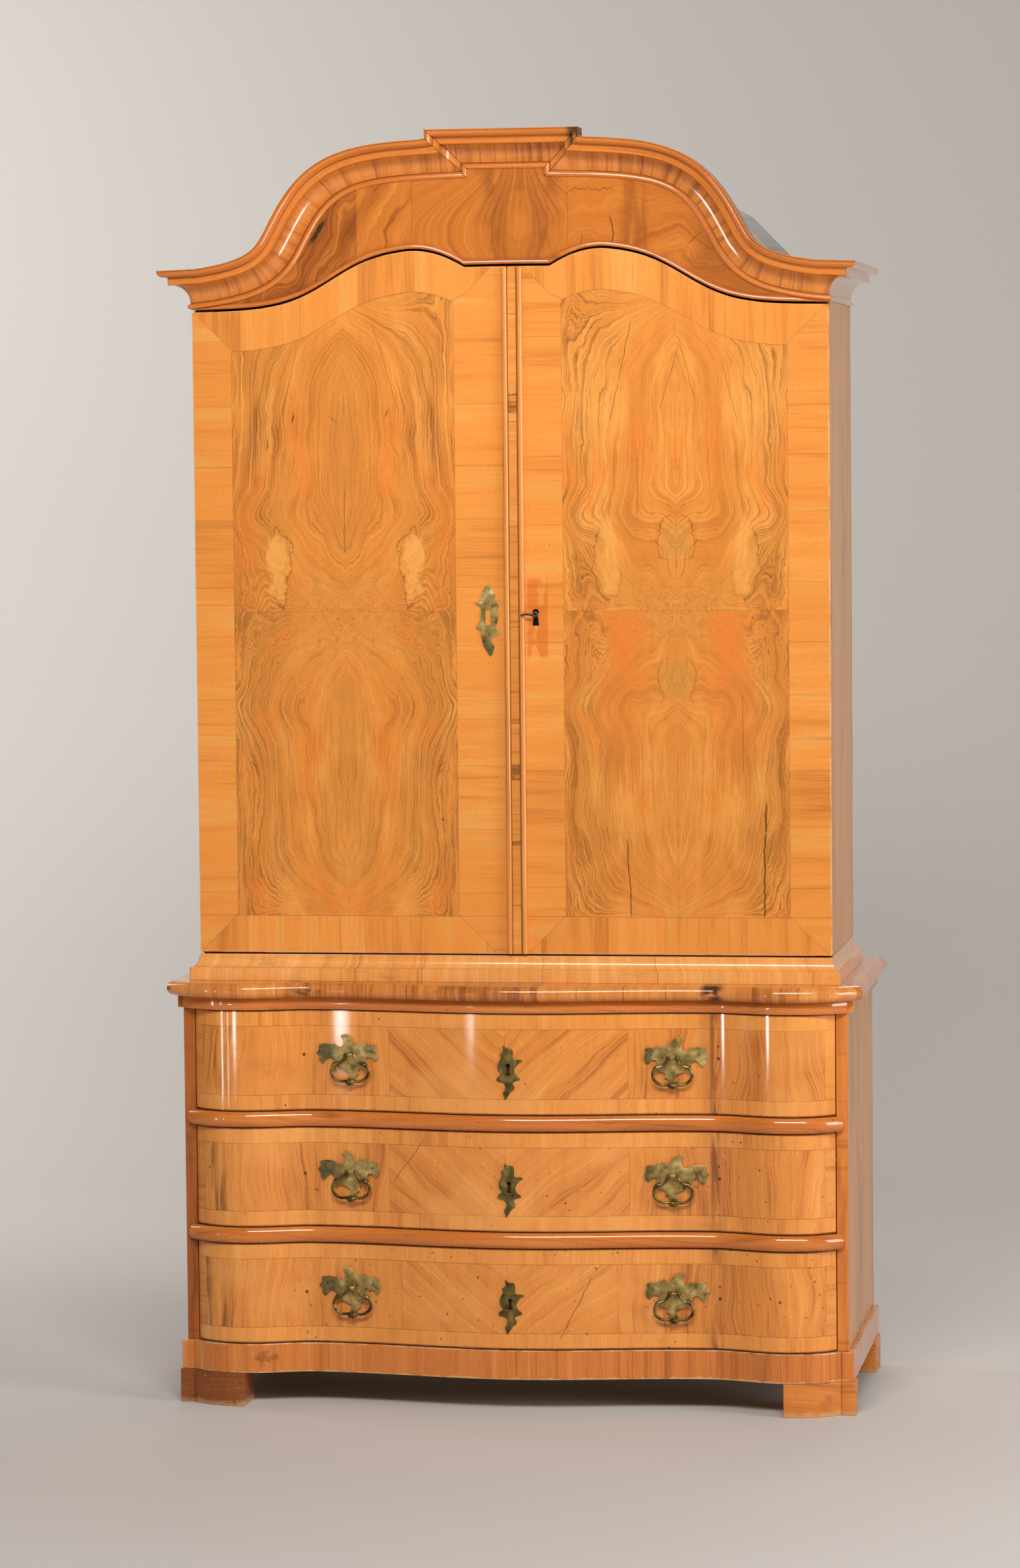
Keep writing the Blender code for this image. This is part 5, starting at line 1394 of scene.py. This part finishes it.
def arch_tone(x):
    """The arch's lower edge as nodes, for veneer that follows it."""
    away = abs(x)
    bend = (ARCH_BEND - away) * (1 / ARCH_RUN)
    bend = bend.maths("TANH", bend)
    dip = (ARCH_PEAK - away) * (1 / (ARCH_PEAK - ARCH_FLAT))
    dip = least(dip.maths("MAXIMUM", dip, 0.0), 1.0)
    return bend * (ARCH_RISE / 2) + (ARCH_BASE + ARCH_RISE / 2) - dip * dip * ARCH_DIP


def door_finish(word, seed, seam, panel_left, panel_right, burl, red, marks):
    low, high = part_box(word + "_door")

    def paint(where, run):
        x, y, z = axes(where)
        under = arch_tone(x) - DOOR_GAP - z
        over = z - low[2]
        ends = least(under, over)
        sides = least(x - panel_left, panel_right - x) + BAND
        upright = ramp(sides - ends, -0.0003, 0.0003)
        panel = inside(x, panel_left, panel_right)
        panel = panel * ramp(under, 0.0696, 0.0704) * ramp(over, 0.0636, 0.0644)

        # Cross-banding: short leaves with the fibre square to the edge
        along = x + (z - x) * upright
        across = z + (x - z) * upright
        fibre = cloud(point(along * 10.0, seed, across * 420.0), 2.0)
        soft = cloud(point(along * 2.2, seed + 1.0, across * 30.0), 3.0, 0.55, 0.5)
        hair = ramp(cloud(point(along * 3.0, seed + 2.0, across * 150.0), 2.0), 0.62, 0.74)
        shade, joint = leaves(across, 0.105, seed + 3.0)
        border_tone = soft * 0.7 + fibre * 0.3 + (shade - 0.5) * 0.16
        border = wood(border_tone, tint(196, 118, 51), tint(229, 143, 63), tint(240, 161, 80))
        border = mixed(ramp(soft, 0.52, 0.66) * 0.35, border, tint(208, 150, 76))
        border = mixed(hair * 0.42, border, tint(176, 98, 42))

        # Four leaves opened like a book: growth lines close in points on the upright joint
        u = abs(x - seam)
        v = abs(z - LEVEL_JOINT)
        layer = ramp(z, LEVEL_JOINT - 0.0003, LEVEL_JOINT + 0.0003) * 0.45 + seed
        slow = cloud(point(u * 9.0, layer, v * 4.0), 2.0) - 0.5
        quick = cloud(point(u * 34.0, layer + 4.0, v * 20.0), 3.0, 0.62) - 0.5
        near_joint = 1 - ramp(v, 0.02, 0.19)
        knuckle = (1 - ramp(abs(v - 0.165), 0.0, 0.062)) * ramp(u, 0.03, 0.11)
        eye_reach = reach(u * 30.0, 0.0, (v - 0.120) * 26.0) + quick * 1.3
        eye_pull = (1 - ramp(eye_reach, 0.2, 2.6)) * burl
        pale_reach = reach((u - 0.118) * 40.0, 0.0, (v - 0.092) * 15.0) + quick * 2.0
        pale_reach = pale_reach + (1 - ramp(z, LEVEL_JOINT - 0.001, LEVEL_JOINT)) * 4.0
        turbulence = quick * (0.015 + near_joint * 0.022)
        above = (v - 0.265) * (v - 0.265)
        bow = above * above * 30.0 * (1 - ramp(u, 0.03, 0.20))
        field = u + bow + slow * (0.060 + near_joint * 0.03) + turbulence - knuckle * 0.024
        field = field + eye_pull * 0.045 + (1 - ramp(pale_reach, 0.6, 2.2)) * 0.018
        bands = cloud(point(field * 78.0, layer, v * 1.6), 4.0, 0.66)
        silk = cloud(point(field * 520.0, layer, v * 9.0), 2.0)
        ring = cloud(point(field * 120.0, layer + 7.0, v * 1.2), 1.0)
        rings = 1 - ramp(abs(ring - 0.5), 0.0, 0.030)
        thread = cloud(point(field * 330.0, layer + 9.0, v * 2.4), 1.0)
        threads = 1 - ramp(abs(thread - 0.5), 0.0, 0.075)
        outer = ramp(u + slow * 0.08, 0.07, 0.16)
        gate = ramp(cloud(point(u * 13.0, layer + 6.0, v * 6.5), 2.0), 0.48, 0.64)
        broken = ramp(cloud(point(u * 42.0, layer + 11.0, v * 17.0), 3.0, 0.6), 0.36, 0.62)
        figure = bands * 0.54 + silk * 0.56 - 0.04
        leafs = wood(figure, tint(174, 100, 40), tint(219, 135, 57), tint(236, 160, 78))
        olive = ramp(cloud(point(field * 13.0, layer + 8.0, v * 2.0), 2.0) + outer * 0.08, 0.50, 0.66)
        leafs = mixed(olive * 0.30, leafs, tint(198, 138, 64))
        drift = cloud(point(u * 12.0 + field * 4.0, layer + 13.0, v * 5.0), 4.0, 0.62)
        leafs = mixed(ramp(drift, 0.46, 0.68) * 0.50, leafs, tint(244, 168, 84))
        leafs = mixed(ramp(drift, 0.50, 0.32) * 0.38, leafs, tint(196, 114, 48))
        fox = ramp(cloud(point(u * 12.0 + field * 8.0, layer + 2.0, v * 7.0), 3.0), 0.52, 0.68)
        leafs = mixed(fox * 0.42, leafs, tint(230, 126, 50))
        leafs = mixed(threads * (outer * 0.40 + broken * 0.26), leafs, tint(132, 80, 36))
        leafs = mixed(rings * (outer * 0.40 + gate * 0.24) * broken, leafs, tint(104, 62, 28))
        smoke = ramp(cloud(point(u * 30.0, layer + 3.0, v * 22.0), 3.0, 0.6), 0.60, 0.76)
        leafs = mixed(smoke * (near_joint * 0.30 + outer * 0.18), leafs, tint(124, 90, 50))
        crumple = cloud(point(u * 64.0, layer + 5.0, v * 56.0), 4.0, 0.62, 2.4)
        crumpled = wood(crumple, tint(146, 92, 42), tint(208, 133, 58), tint(226, 156, 78))
        leafs = mixed((1 - ramp(v, 0.03, 0.09)) * (1 - ramp(u, 0.05, 0.13)) * 0.55, leafs, crumpled)
        leafs = mixed((1 - ramp(pale_reach, 0.55, 0.95)) * (0.6 - burl * 0.3), leafs, tint(242, 172, 88))
        leafs = mixed(stroke(pale_reach, 0.96, 0.07) * gate * 0.5, leafs, tint(108, 64, 29))
        eye_inside = (1 - ramp(eye_reach, 0.5, 1.1)) * burl
        eye_tone = cloud(point(u * 150.0, layer, v * 130.0), 4.0, 0.62, 1.2)
        eye_wood = wood(eye_tone, tint(150, 104, 50), tint(196, 138, 62), tint(212, 150, 72))
        leafs = mixed(eye_inside * 0.55, leafs, eye_wood)
        leafs = mixed(stroke(eye_reach, 1.05, 0.05) * burl * gate * 0.45, leafs, tint(96, 60, 30))
        stain = inside(u + slow * 0.05, 0.060, 0.130, 0.030) * ramp(z + slow * 0.3, 1.06, 1.26)
        stain = stain * (1 - ramp(z, LEVEL_JOINT - 0.003, LEVEL_JOINT))
        patch = stain * ramp(cloud(point(u * 20.0, layer, z * 7.0), 3.0), 0.32, 0.60) * red
        leafs = mixed(patch * 0.60, leafs, tint(228, 122, 52))

        colour = mixed(panel, border, leafs)
        frame_line = stroke(x, panel_left, 0.0007) + stroke(x, panel_right, 0.0007)
        frame_line = frame_line * ramp(under, 0.069, 0.071) * ramp(over, 0.063, 0.065) * 0.6
        frame_line = frame_line + stroke(over, 0.064, 0.0008)
        frame_line = frame_line + stroke(under, 0.070, 0.0009) * inside(x, panel_left, panel_right)
        mitre = stroke(sides - ends, 0.0, 0.0010) * (1 - panel)
        book = (stroke(u, 0.0, 0.0005) * 0.5 + stroke(v, 0.0, 0.0006)) * panel
        seams = frame_line * 0.8 + mitre * 0.7 + book * 0.7 + joint * (1 - panel) * 0.5
        colour = mixed(seams * 0.55, colour, tint(110, 62, 26))
        colour = mixed(pores(z, x, seed) * 0.28, colour, tint(144, 82, 36))
        dark = ramp(cloud(point(x * 95.0, seed, z * 95.0), 1.0), 0.80, 0.82)
        wander = (cloud(point(x * 8.0, seed, z * 46.0), 3.0) - 0.5) * 0.008
        patchy = ramp(cloud(point(x * 8.0, seed + 1.0, z * 80.0), 2.0), 0.24, 0.42)
        for mark_x, lean, mark_low, mark_high, width, depth in marks:
            path = x - mark_x - (z - mark_low) * lean + wander
            dark = dark + stroke(path, 0.0, width) * inside(z, mark_low, mark_high, 0.006) * patchy * depth
        # Painted shade inside the keyhole, which also darkens a strip down the back of the door
        if red:
            dark = dark + ramp(y, low[1] + 0.0015, low[1] + 0.0030) * inside(x, 0.036, 0.054)
        colour = mixed(least(dark, 1.0) * 0.85, colour, tint(48, 26, 12))
        rim = 1 - ramp(least(ends, least(x - low[0], high[0] - x)), 0.0003, 0.0016)
        rub = ramp(cloud(point(x * 30.0, seed, z * 30.0), 3.0), 0.36, 0.6)
        colour = mixed(rim * rub * 0.6, colour, tint(246, 204, 140))
        if red:
            ghost = inside(x, 0.031, 0.066, 0.003) * inside(z, 1.297, 1.431, 0.004)
            ghost = ghost * ramp(cloud(point(x * 60.0, 3.0, z * 26.0), 3.0), 0.40, 0.52)
            colour = mixed(ghost * 0.60, colour, tint(208, 100, 38))
        return colour, figure * 0.10 + shade * 0.04 + 0.26, figure * 0.12 - seams * 0.5 - dark * 1.2

    return finish(word + "_door_veneer", paint, coat=0.5, relief=0.0003)


def door_leaf(word, side):
    """A door with its arched top and the back edge by the pivot well rounded."""
    low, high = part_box(word + "_door")
    near, far = sorted((abs(low[0]), abs(high[0])))
    places = sorted([near + (far - near) * i / 110 for i in range(111)] + [ARCH_FLAT])
    outline = [(side * near, low[2]), (side * far, low[2])]
    outline += [(side * x, arch(x) - DOOR_GAP) for x in reversed(places)]
    bm = board(outline, low[1], high[1], True)
    corner = Vector((side * far, high[1]))
    pivot_edge = [edge for edge in bm.edges if all((v.co.xy - corner).length < 1e-5 for v in edge.verts)]
    bmesh.ops.bevel(bm, geom=pivot_edge, offset=PIVOT_ROUND, segments=8, profile=0.5, affect="EDGES")
    return eased(bm, 0.0008, 2, 1.2)


left_cracks = [
    (-0.297, -2.0, 0.938, 0.946, 0.0014, 0.9), (-0.376, 0.2, 1.702, 1.716, 0.0020, 1.0),
    (-0.302, -1.2, 1.704, 1.710, 0.0018, 1.0), (-0.211, 0.3, 1.712, 1.720, 0.0020, 1.0),
    (-0.404, 0.24, 1.676, 1.832, 0.0009, 0.4), (-0.190, -0.30, 1.720, 1.870, 0.0009, 0.45),
    (-0.190, -0.5, 1.640, 1.672, 0.0010, 0.6), (-0.288, 0.02, 1.480, 1.585, 0.0010, 0.6),
    (-0.420, 0.0, 1.655, 1.672, 0.0018, 0.8), (-0.125, 0.7, 1.098, 1.103, 0.0016, 0.9),
]
right_cracks = [
    (0.435, 0.02, 0.852, 1.045, 0.0022, 0.9), (0.207, -0.05, 0.852, 0.985, 0.0016, 0.8),
    (0.176, 0.22, 1.700, 1.868, 0.0011, 0.75), (0.222, 0.0, 1.540, 1.640, 0.0011, 0.5),
    (0.395, -0.25, 1.690, 1.800, 0.0009, 0.5), (0.400, 0.0, 1.100, 1.230, 0.0010, 0.5),
    (0.262, 0.30, 1.720, 1.830, 0.0012, 0.45), (0.322, -0.25, 1.730, 1.840, 0.0012, 0.4),
]
left_veneer = door_finish("left", 101.0, -0.286, -0.482, -0.093, 0.1, 0.0, left_cracks)
right_veneer = door_finish("right", 113.0, 0.288, 0.093, 0.480, 1.0, 1.0, right_cracks)
piece("left_door_leaf", door_leaf("left", -1), left_veneer, "walnut_veneer", "left_leaf", "left_door")
low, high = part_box("right_door")
KEY_X = 0.045
KEY_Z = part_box("waist_moulding")[1][2] + 0.591
hole = keyhole(1.4, KEY_X, KEY_Z - 0.0063)
right_leaf = cut_through("right_leaf", door_leaf("right", 1), hole, low[1] - 0.01, high[1] + 0.01)
piece("right_door_leaf", right_leaf, right_veneer, "walnut_veneer", "right_leaf", "right_door")

# Meeting strip
# A cover strip planted on the edge of the right door to lap the left one: a round bead at each side and a
# flat between them veneered across, in leaves of light and dark walnut.


def strip_paint(where, run):
    x, y, z = axes(where)
    flat = inside(x, 0.0016, 0.0164, 0.0006)
    across = grain(x, z, 121.0, 70.0, 460.0)
    shade, joint = leaves(z, 0.165, 31.3)
    banded = wood(across + (shade - 0.42) * 0.20, tint(164, 96, 42), tint(216, 134, 60), tint(230, 154, 78))
    singed = inside(z, 1.714, 1.748, 0.001) + inside(z, 1.086, 1.114, 0.001) + stroke(z, 0.978, 0.006)
    singed = singed * ramp(cloud(point(x * 40.0, 3.0, z * 260.0), 3.0), 0.30, 0.55)
    banded = mixed(singed * 0.7, banded, tint(92, 54, 28))
    banded = mixed(joint * 0.6, banded, tint(90, 50, 24))
    along = grain(z, x + y, 123.0, 90.0, 620.0)
    plain = wood(along, tint(176, 100, 42), tint(220, 140, 66), tint(236, 162, 88))
    colour = mixed(flat, plain, banded)
    # Painted shade in the creases where the beads meet the flat
    painted_crease_shade = stroke(x, 0.0014, 0.0010) + stroke(x, 0.0166, 0.0010)
    colour = mixed(painted_crease_shade * 0.7, colour, tint(74, 40, 20))
    return colour, across * 0.12 + 0.18, across * 0.2 - joint * 0.4


strip_finish = finish("meeting_strip_veneer", strip_paint, coat=1.0, relief=0.0002)
low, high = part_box("meeting_strip")
STRIP_BEAD = 0.009
STRIP_FACE = 0.0065
outline = [(low[0], high[1])]
for middle in (low[0] + STRIP_BEAD / 2, high[0] - STRIP_BEAD / 2):
    for i in range(17):
        turn = math.radians(180 - 180 * i / 16)
        x = middle + STRIP_BEAD / 2 * math.cos(turn)
        outline.append((x, low[1] + STRIP_BEAD / 2 * (1 - math.sin(turn))))
    if middle < 0:
        outline.append((low[0] + STRIP_BEAD * 1.12, DOOR_Y - STRIP_FACE))
        outline.append((high[0] - STRIP_BEAD * 1.12, DOOR_Y - STRIP_FACE))
outline.append((high[0], high[1]))
strip = eased(board(outline, low[2], high[2]), 0.0005, 2, 1.3)
piece("beaded_meeting_strip", strip, strip_finish, "walnut_veneer", "right_leaf", "meeting_strip")

# Door iron
# Pivot plates and pins let into the ends of the doors, the lock and its bolt on the right door, and the
# slide bolt with its guide on the left. All are forged and filed iron, dark with rust in places.


def iron_paint(where, run):
    x, y, z = axes(where)
    forged = mottle(x, y, z, 160.0, 4.0, 0.6)
    rust = ramp(mottle(x, y, z, 40.0, 4.0, 0.65), 0.52, 0.68)
    colour = mixed(ramp(forged, 0.35, 0.65), tint(44, 42, 40), tint(92, 88, 84))
    colour = mixed(rust * 0.7, colour, tint(98, 56, 32))
    return colour, forged * 0.2 + rust * 0.25 + 0.36, forged * 0.8


iron = finish("forged_iron", iron_paint, metal=0.8, relief=0.0003)
for node in (
    "left_door_top_pivot", "left_door_bottom_pivot", "right_door_top_pivot", "right_door_bottom_pivot",
    "door_lock", "lock_bolt", "left_door_bolt", "left_door_bolt_guide",
):
    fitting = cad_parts[node]
    fitting.data.materials.clear()
    fitting.data.materials.append(iron)

# Door key
# A plain iron key left in the bare keyhole: a round stem whose outer end is curled over and drawn out
# sideways into a tapered arm, and a small bit inside the lock.
key_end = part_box("door_key")[1][1]
KEY_STAND = 0.0148
KEY_RADIUS = 0.0022
CURL_RADIUS = 0.0032
curl_y = DOOR_Y - KEY_STAND
key_path = [(KEY_X, key_end, KEY_Z, 1.0), (KEY_X, DOOR_Y, KEY_Z, 1.0), (KEY_X, DOOR_Y - 0.009, KEY_Z, 1.0)]
for i in range(9):
    turn = math.radians(-30 + 27 * i)
    curl_x = KEY_X + CURL_RADIUS * (math.sin(turn) + 0.5)
    key_path.append((curl_x, curl_y, KEY_Z + CURL_RADIUS * (math.cos(turn) - 1), 1.0))
key_path += [(KEY_X - 0.010, curl_y, KEY_Z - 0.0030, 0.95), (KEY_X - 0.024, curl_y, KEY_Z - 0.0044, 0.6)]
wire = bpy.data.curves.new("key_wire", "CURVE")
wire.dimensions = "3D"
wire.bevel_depth = KEY_RADIUS
wire.bevel_resolution = 4
wire.use_fill_caps = True
spline = wire.splines.new("POLY")
smooth_path = curved(key_path, 4, False)
spline.points.add(len(smooth_path) - 1)
for spot, (x, y, z, radius) in zip(spline.points, smooth_path):
    spot.co = (x, y, z, 1.0)
    spot.radius = radius
item = bpy.data.objects.new("key_wire", wire)
bpy.context.scene.collection.objects.link(item)
key = settled(item)
bmesh.ops.remove_doubles(key, verts=key.verts, dist=0.00001)
bit_low = (KEY_X - 0.0015, key_end - 0.0118, KEY_Z - 0.0100)
bit_high = (KEY_X + 0.0015, key_end - 0.0012, KEY_Z - 0.0012)
pour(squared(bit_low, bit_high, 0.0004), key)
piece("curled_key", key, iron, "dark_iron", "key", "door_key", crease=40)

# Left door escutcheon
# A blind leaf of brass, larger than those of the drawers, planted where the left door mirrors the lock.
# Veneer shows through its false keyhole, and its lower end is green.
DOOR_LEAF_EDGE = (
    (5.5, 55), (6.5, 45), (12.5, 36), (11, 29), (18, 18), (15.5, 11), (17, 0), (15, -12), (12, -20),
    (18.5, -29), (17.5, -33), (7.5, -37.5), (4.5, -45), (10, -53), (4, -69), (-3, -61), (-10, -48),
    (-14, -27), (-21, -21), (-15, -10), (-13, 3), (-14, 15), (-23, 22), (-13, 26), (-11, 37), (-5, 49),
)
LEAF_X = -0.037
leaf_z = KEY_Z - 0.006
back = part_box("left_door_escutcheon")[1][1]
leaf_piece = leaf(DOOR_LEAF_EDGE, keyhole(1.25), LEAF_X, back, leaf_z)
name = "left_door_leaf_plate"
piece(name, leaf_piece, plate_brass, "antique_brass", "left_leaf", "left_door_escutcheon", crease=40)
front = back - PLATE_THICKNESS
pin_places["left_leaf"] = [(LEAF_X + 0.002, front, leaf_z + 0.044), (LEAF_X + 0.002, front, leaf_z - 0.058)]

# Brass pins
# Small domed pins that hold every backplate and escutcheon to the wood. They are of the same rubbed brass
# as the handles.


PIN_HEAD = 0.0017
PIN_DOME = 0.55


def pin_tree(radius):
    """Nodes that set a domed head on every given place."""
    tree = bpy.data.node_groups.new("pins", "GeometryNodeTree")
    tree.interface.new_socket("Geometry", in_out="INPUT", socket_type="NodeSocketGeometry")
    head = tree.interface.new_socket("Head radius", in_out="INPUT", socket_type="NodeSocketFloat")
    head.default_value = radius
    tree.interface.new_socket("Geometry", in_out="OUTPUT", socket_type="NodeSocketGeometry")
    entry = tree.nodes.new("NodeGroupInput")
    ball = tree.nodes.new("GeometryNodeMeshUVSphere")
    ball.inputs["Segments"].default_value = 14
    ball.inputs["Rings"].default_value = 8
    spread = tree.nodes.new("GeometryNodeInstanceOnPoints")
    spread.inputs["Scale"].default_value = (1.0, PIN_DOME, 1.0)
    real = tree.nodes.new("GeometryNodeRealizeInstances")
    coat = tree.nodes.new("GeometryNodeSetMaterial")
    coat.inputs["Material"].default_value = handle_brass
    leave = tree.nodes.new("NodeGroupOutput")
    for start, end in (
        (entry.outputs[0], spread.inputs["Points"]), (entry.outputs[1], ball.inputs["Radius"]),
        (ball.outputs["Mesh"], spread.inputs["Instance"]), (spread.outputs[0], real.inputs[0]),
        (real.outputs[0], coat.inputs["Geometry"]), (coat.outputs[0], leave.inputs[0]),
    ):
        tree.links.new(start, end)
    return tree, head.identifier


tree, head_socket = pin_tree(PIN_HEAD)
for body, spots in pin_places.items():
    mesh = bpy.data.meshes.new("pin_spots")
    mesh.from_pydata(spots, [], [])
    item = bpy.data.objects.new("pin_spots", mesh)
    bpy.context.scene.collection.objects.link(item)
    modifier = item.modifiers.new("pins", "NODES")
    modifier.node_group = tree
    modifier[head_socket] = PIN_HEAD
    piece(body + "_brass_pins", settled(item), handle_brass, "antique_brass", body, crease=50)

# Floor, light and camera
# A plain pale floor that curves up into a backdrop, which is clear from behind, soft boxes on all sides,
# some with grids for the streaks in the polish, and a camera at the photograph's place.
stage_finish = bpy.data.materials.new("pale_paper")
stage_finish.use_nodes = True
paper = stage_finish.node_tree.nodes["Principled BSDF"]
paper.inputs["Base Color"].default_value = tint(204, 198, 192)
paper.inputs["Roughness"].default_value = 0.9
nodes = stage_finish.node_tree.nodes
links = stage_finish.node_tree.links
clear = nodes.new("ShaderNodeBsdfTransparent")
facing = nodes.new("ShaderNodeNewGeometry")
one_sided = nodes.new("ShaderNodeMixShader")
links.new(facing.outputs["Backfacing"], one_sided.inputs[0])
links.new(paper.outputs[0], one_sided.inputs[1])
links.new(clear.outputs[0], one_sided.inputs[2])
links.new(one_sided.outputs[0], nodes["Material Output"].inputs["Surface"])
FLOOR_REACH = 14.0
CURVE_Y = 2.2
CURVE_RADIUS = 1.6
WALL_TOP = 9.0
slope = [(-FLOOR_REACH, 0.0), (CURVE_Y, 0.0)]
for i in range(1, 13):
    turn = math.radians(7.5 * i)
    slope.append((CURVE_Y + CURVE_RADIUS * math.sin(turn), CURVE_RADIUS * (1 - math.cos(turn))))
slope.append((CURVE_Y + CURVE_RADIUS, WALL_TOP))
paper_bm = bmesh.new()
rows = []
for y, z in slope:
    rows.append([paper_bm.verts.new((x, y, z)) for x in (-FLOOR_REACH, FLOOR_REACH)])
for first, second in zip(rows, rows[1:]):
    paper_bm.faces.new((first[0], first[1], second[1], second[0]))
for face in paper_bm.faces:
    face.smooth = True
mesh = bpy.data.meshes.new("paper_sweep")
paper_bm.to_mesh(mesh)
paper_bm.free()
mesh.materials.append(stage_finish)
paper_sweep = bpy.data.objects.new("paper_sweep", mesh)
bpy.context.scene.collection.objects.link(paper_sweep)

world = bpy.data.worlds.new("studio")
bpy.context.scene.world = world
world.use_nodes = True
world.node_tree.nodes["Background"].inputs[0].default_value = (1.0, 0.99, 0.98, 1.0)
world.node_tree.nodes["Background"].inputs[1].default_value = 0.06


def flat_box(name, spot, aim, wide, tall, power, spread=180):
    """A soft box at a place, facing another place, with a grid over it where the spread is narrow."""
    lamp = bpy.data.lights.new(name, "AREA")
    lamp.shape = "RECTANGLE"
    lamp.size = wide
    lamp.size_y = tall
    lamp.energy = power
    lamp.spread = math.radians(spread)
    made = bpy.data.objects.new(name, lamp)
    made.visible_camera = False
    made.location = spot
    made.rotation_euler = (Vector(aim) - Vector(spot)).to_track_quat("-Z", "Y").to_euler()
    bpy.context.scene.collection.objects.link(made)


flat_box("front_box", (0.7, -4.8, 4.2), (0.0, 0.0, 0.5), 3.6, 1.0, 248)
flat_box("left_box", (-1.90, -1.77, 0.885), (-0.45, -0.25, 1.10), 0.09, 1.23, 0.18, 30)
flat_box("narrow_left_box", (-1.62, -2.16, 0.875), (-0.40, -0.25, 1.10), 0.05, 1.25, 0.09, 30)
flat_box("near_left_box", (-2.11, -4.97, 0.09), (-0.42, -0.24, 0.69), 0.52, 0.14, 0.0090, 6)
flat_box("fold_box", (-1.92, -4.67, 0.09), (0.44, -0.21, 0.69), 0.30, 0.14, 0.0080, 6)
flat_box("left_grid_box", (-1.91, -2.05, 0.95), (0.37, -0.2, 2.05), 0.60, 0.9, 0.60, 24)
flat_box("right_grid_box", (1.75, -1.60, 0.50), (-0.37, -0.2, 2.05), 0.60, 0.6, 0.40, 24)
flat_box("side_box", (4.02, -1.79, 1.65), (0.0, -0.1, 1.40), 1.4, 2.1, 94)
flat_box("back_box", (0.0, 3.7, 3.3), (0.0, 0.0, 3.3), 3.0, 1.0, 60)
flat_box("paper_box", (-3.2, 1.0, 2.6), (-2.4, 3.8, 1.4), 1.6, 1.6, 80)

PHOTO_TALL = 2380
FOCAL_PIXELS = 7644.68
camera = bpy.data.cameras.new("camera")
camera.sensor_fit = "VERTICAL"
camera.sensor_height = 36.0
camera.lens = FOCAL_PIXELS / PHOTO_TALL * 36.0
camera.clip_end = 100.0
yaw = math.radians(9.2191)
pitch = math.radians(3.9047)
roll = math.radians(0.5507)
EYE_X = 1.3802
EYE_BEFORE_DOORS = 8.5183
EYE_Z = 1.6682
ahead = Vector((-math.sin(yaw) * math.cos(pitch), math.cos(yaw) * math.cos(pitch), -math.sin(pitch)))
level_right = Vector((math.cos(yaw), math.sin(yaw), 0.0))
level_down = ahead.cross(level_right)
right = level_right * math.cos(roll) + level_down * math.sin(roll)
down = level_down * math.cos(roll) - level_right * math.sin(roll)
eye = bpy.data.objects.new("camera", camera)
eye.matrix_world = Matrix((
    (right.x, -down.x, -ahead.x, EYE_X),
    (right.y, -down.y, -ahead.y, DOOR_Y - EYE_BEFORE_DOORS),
    (right.z, -down.z, -ahead.z, EYE_Z),
    (0.0, 0.0, 0.0, 1.0),
))
bpy.context.scene.collection.objects.link(eye)
bpy.context.scene.camera = eye
bpy.context.scene.view_settings.view_transform = "Standard"
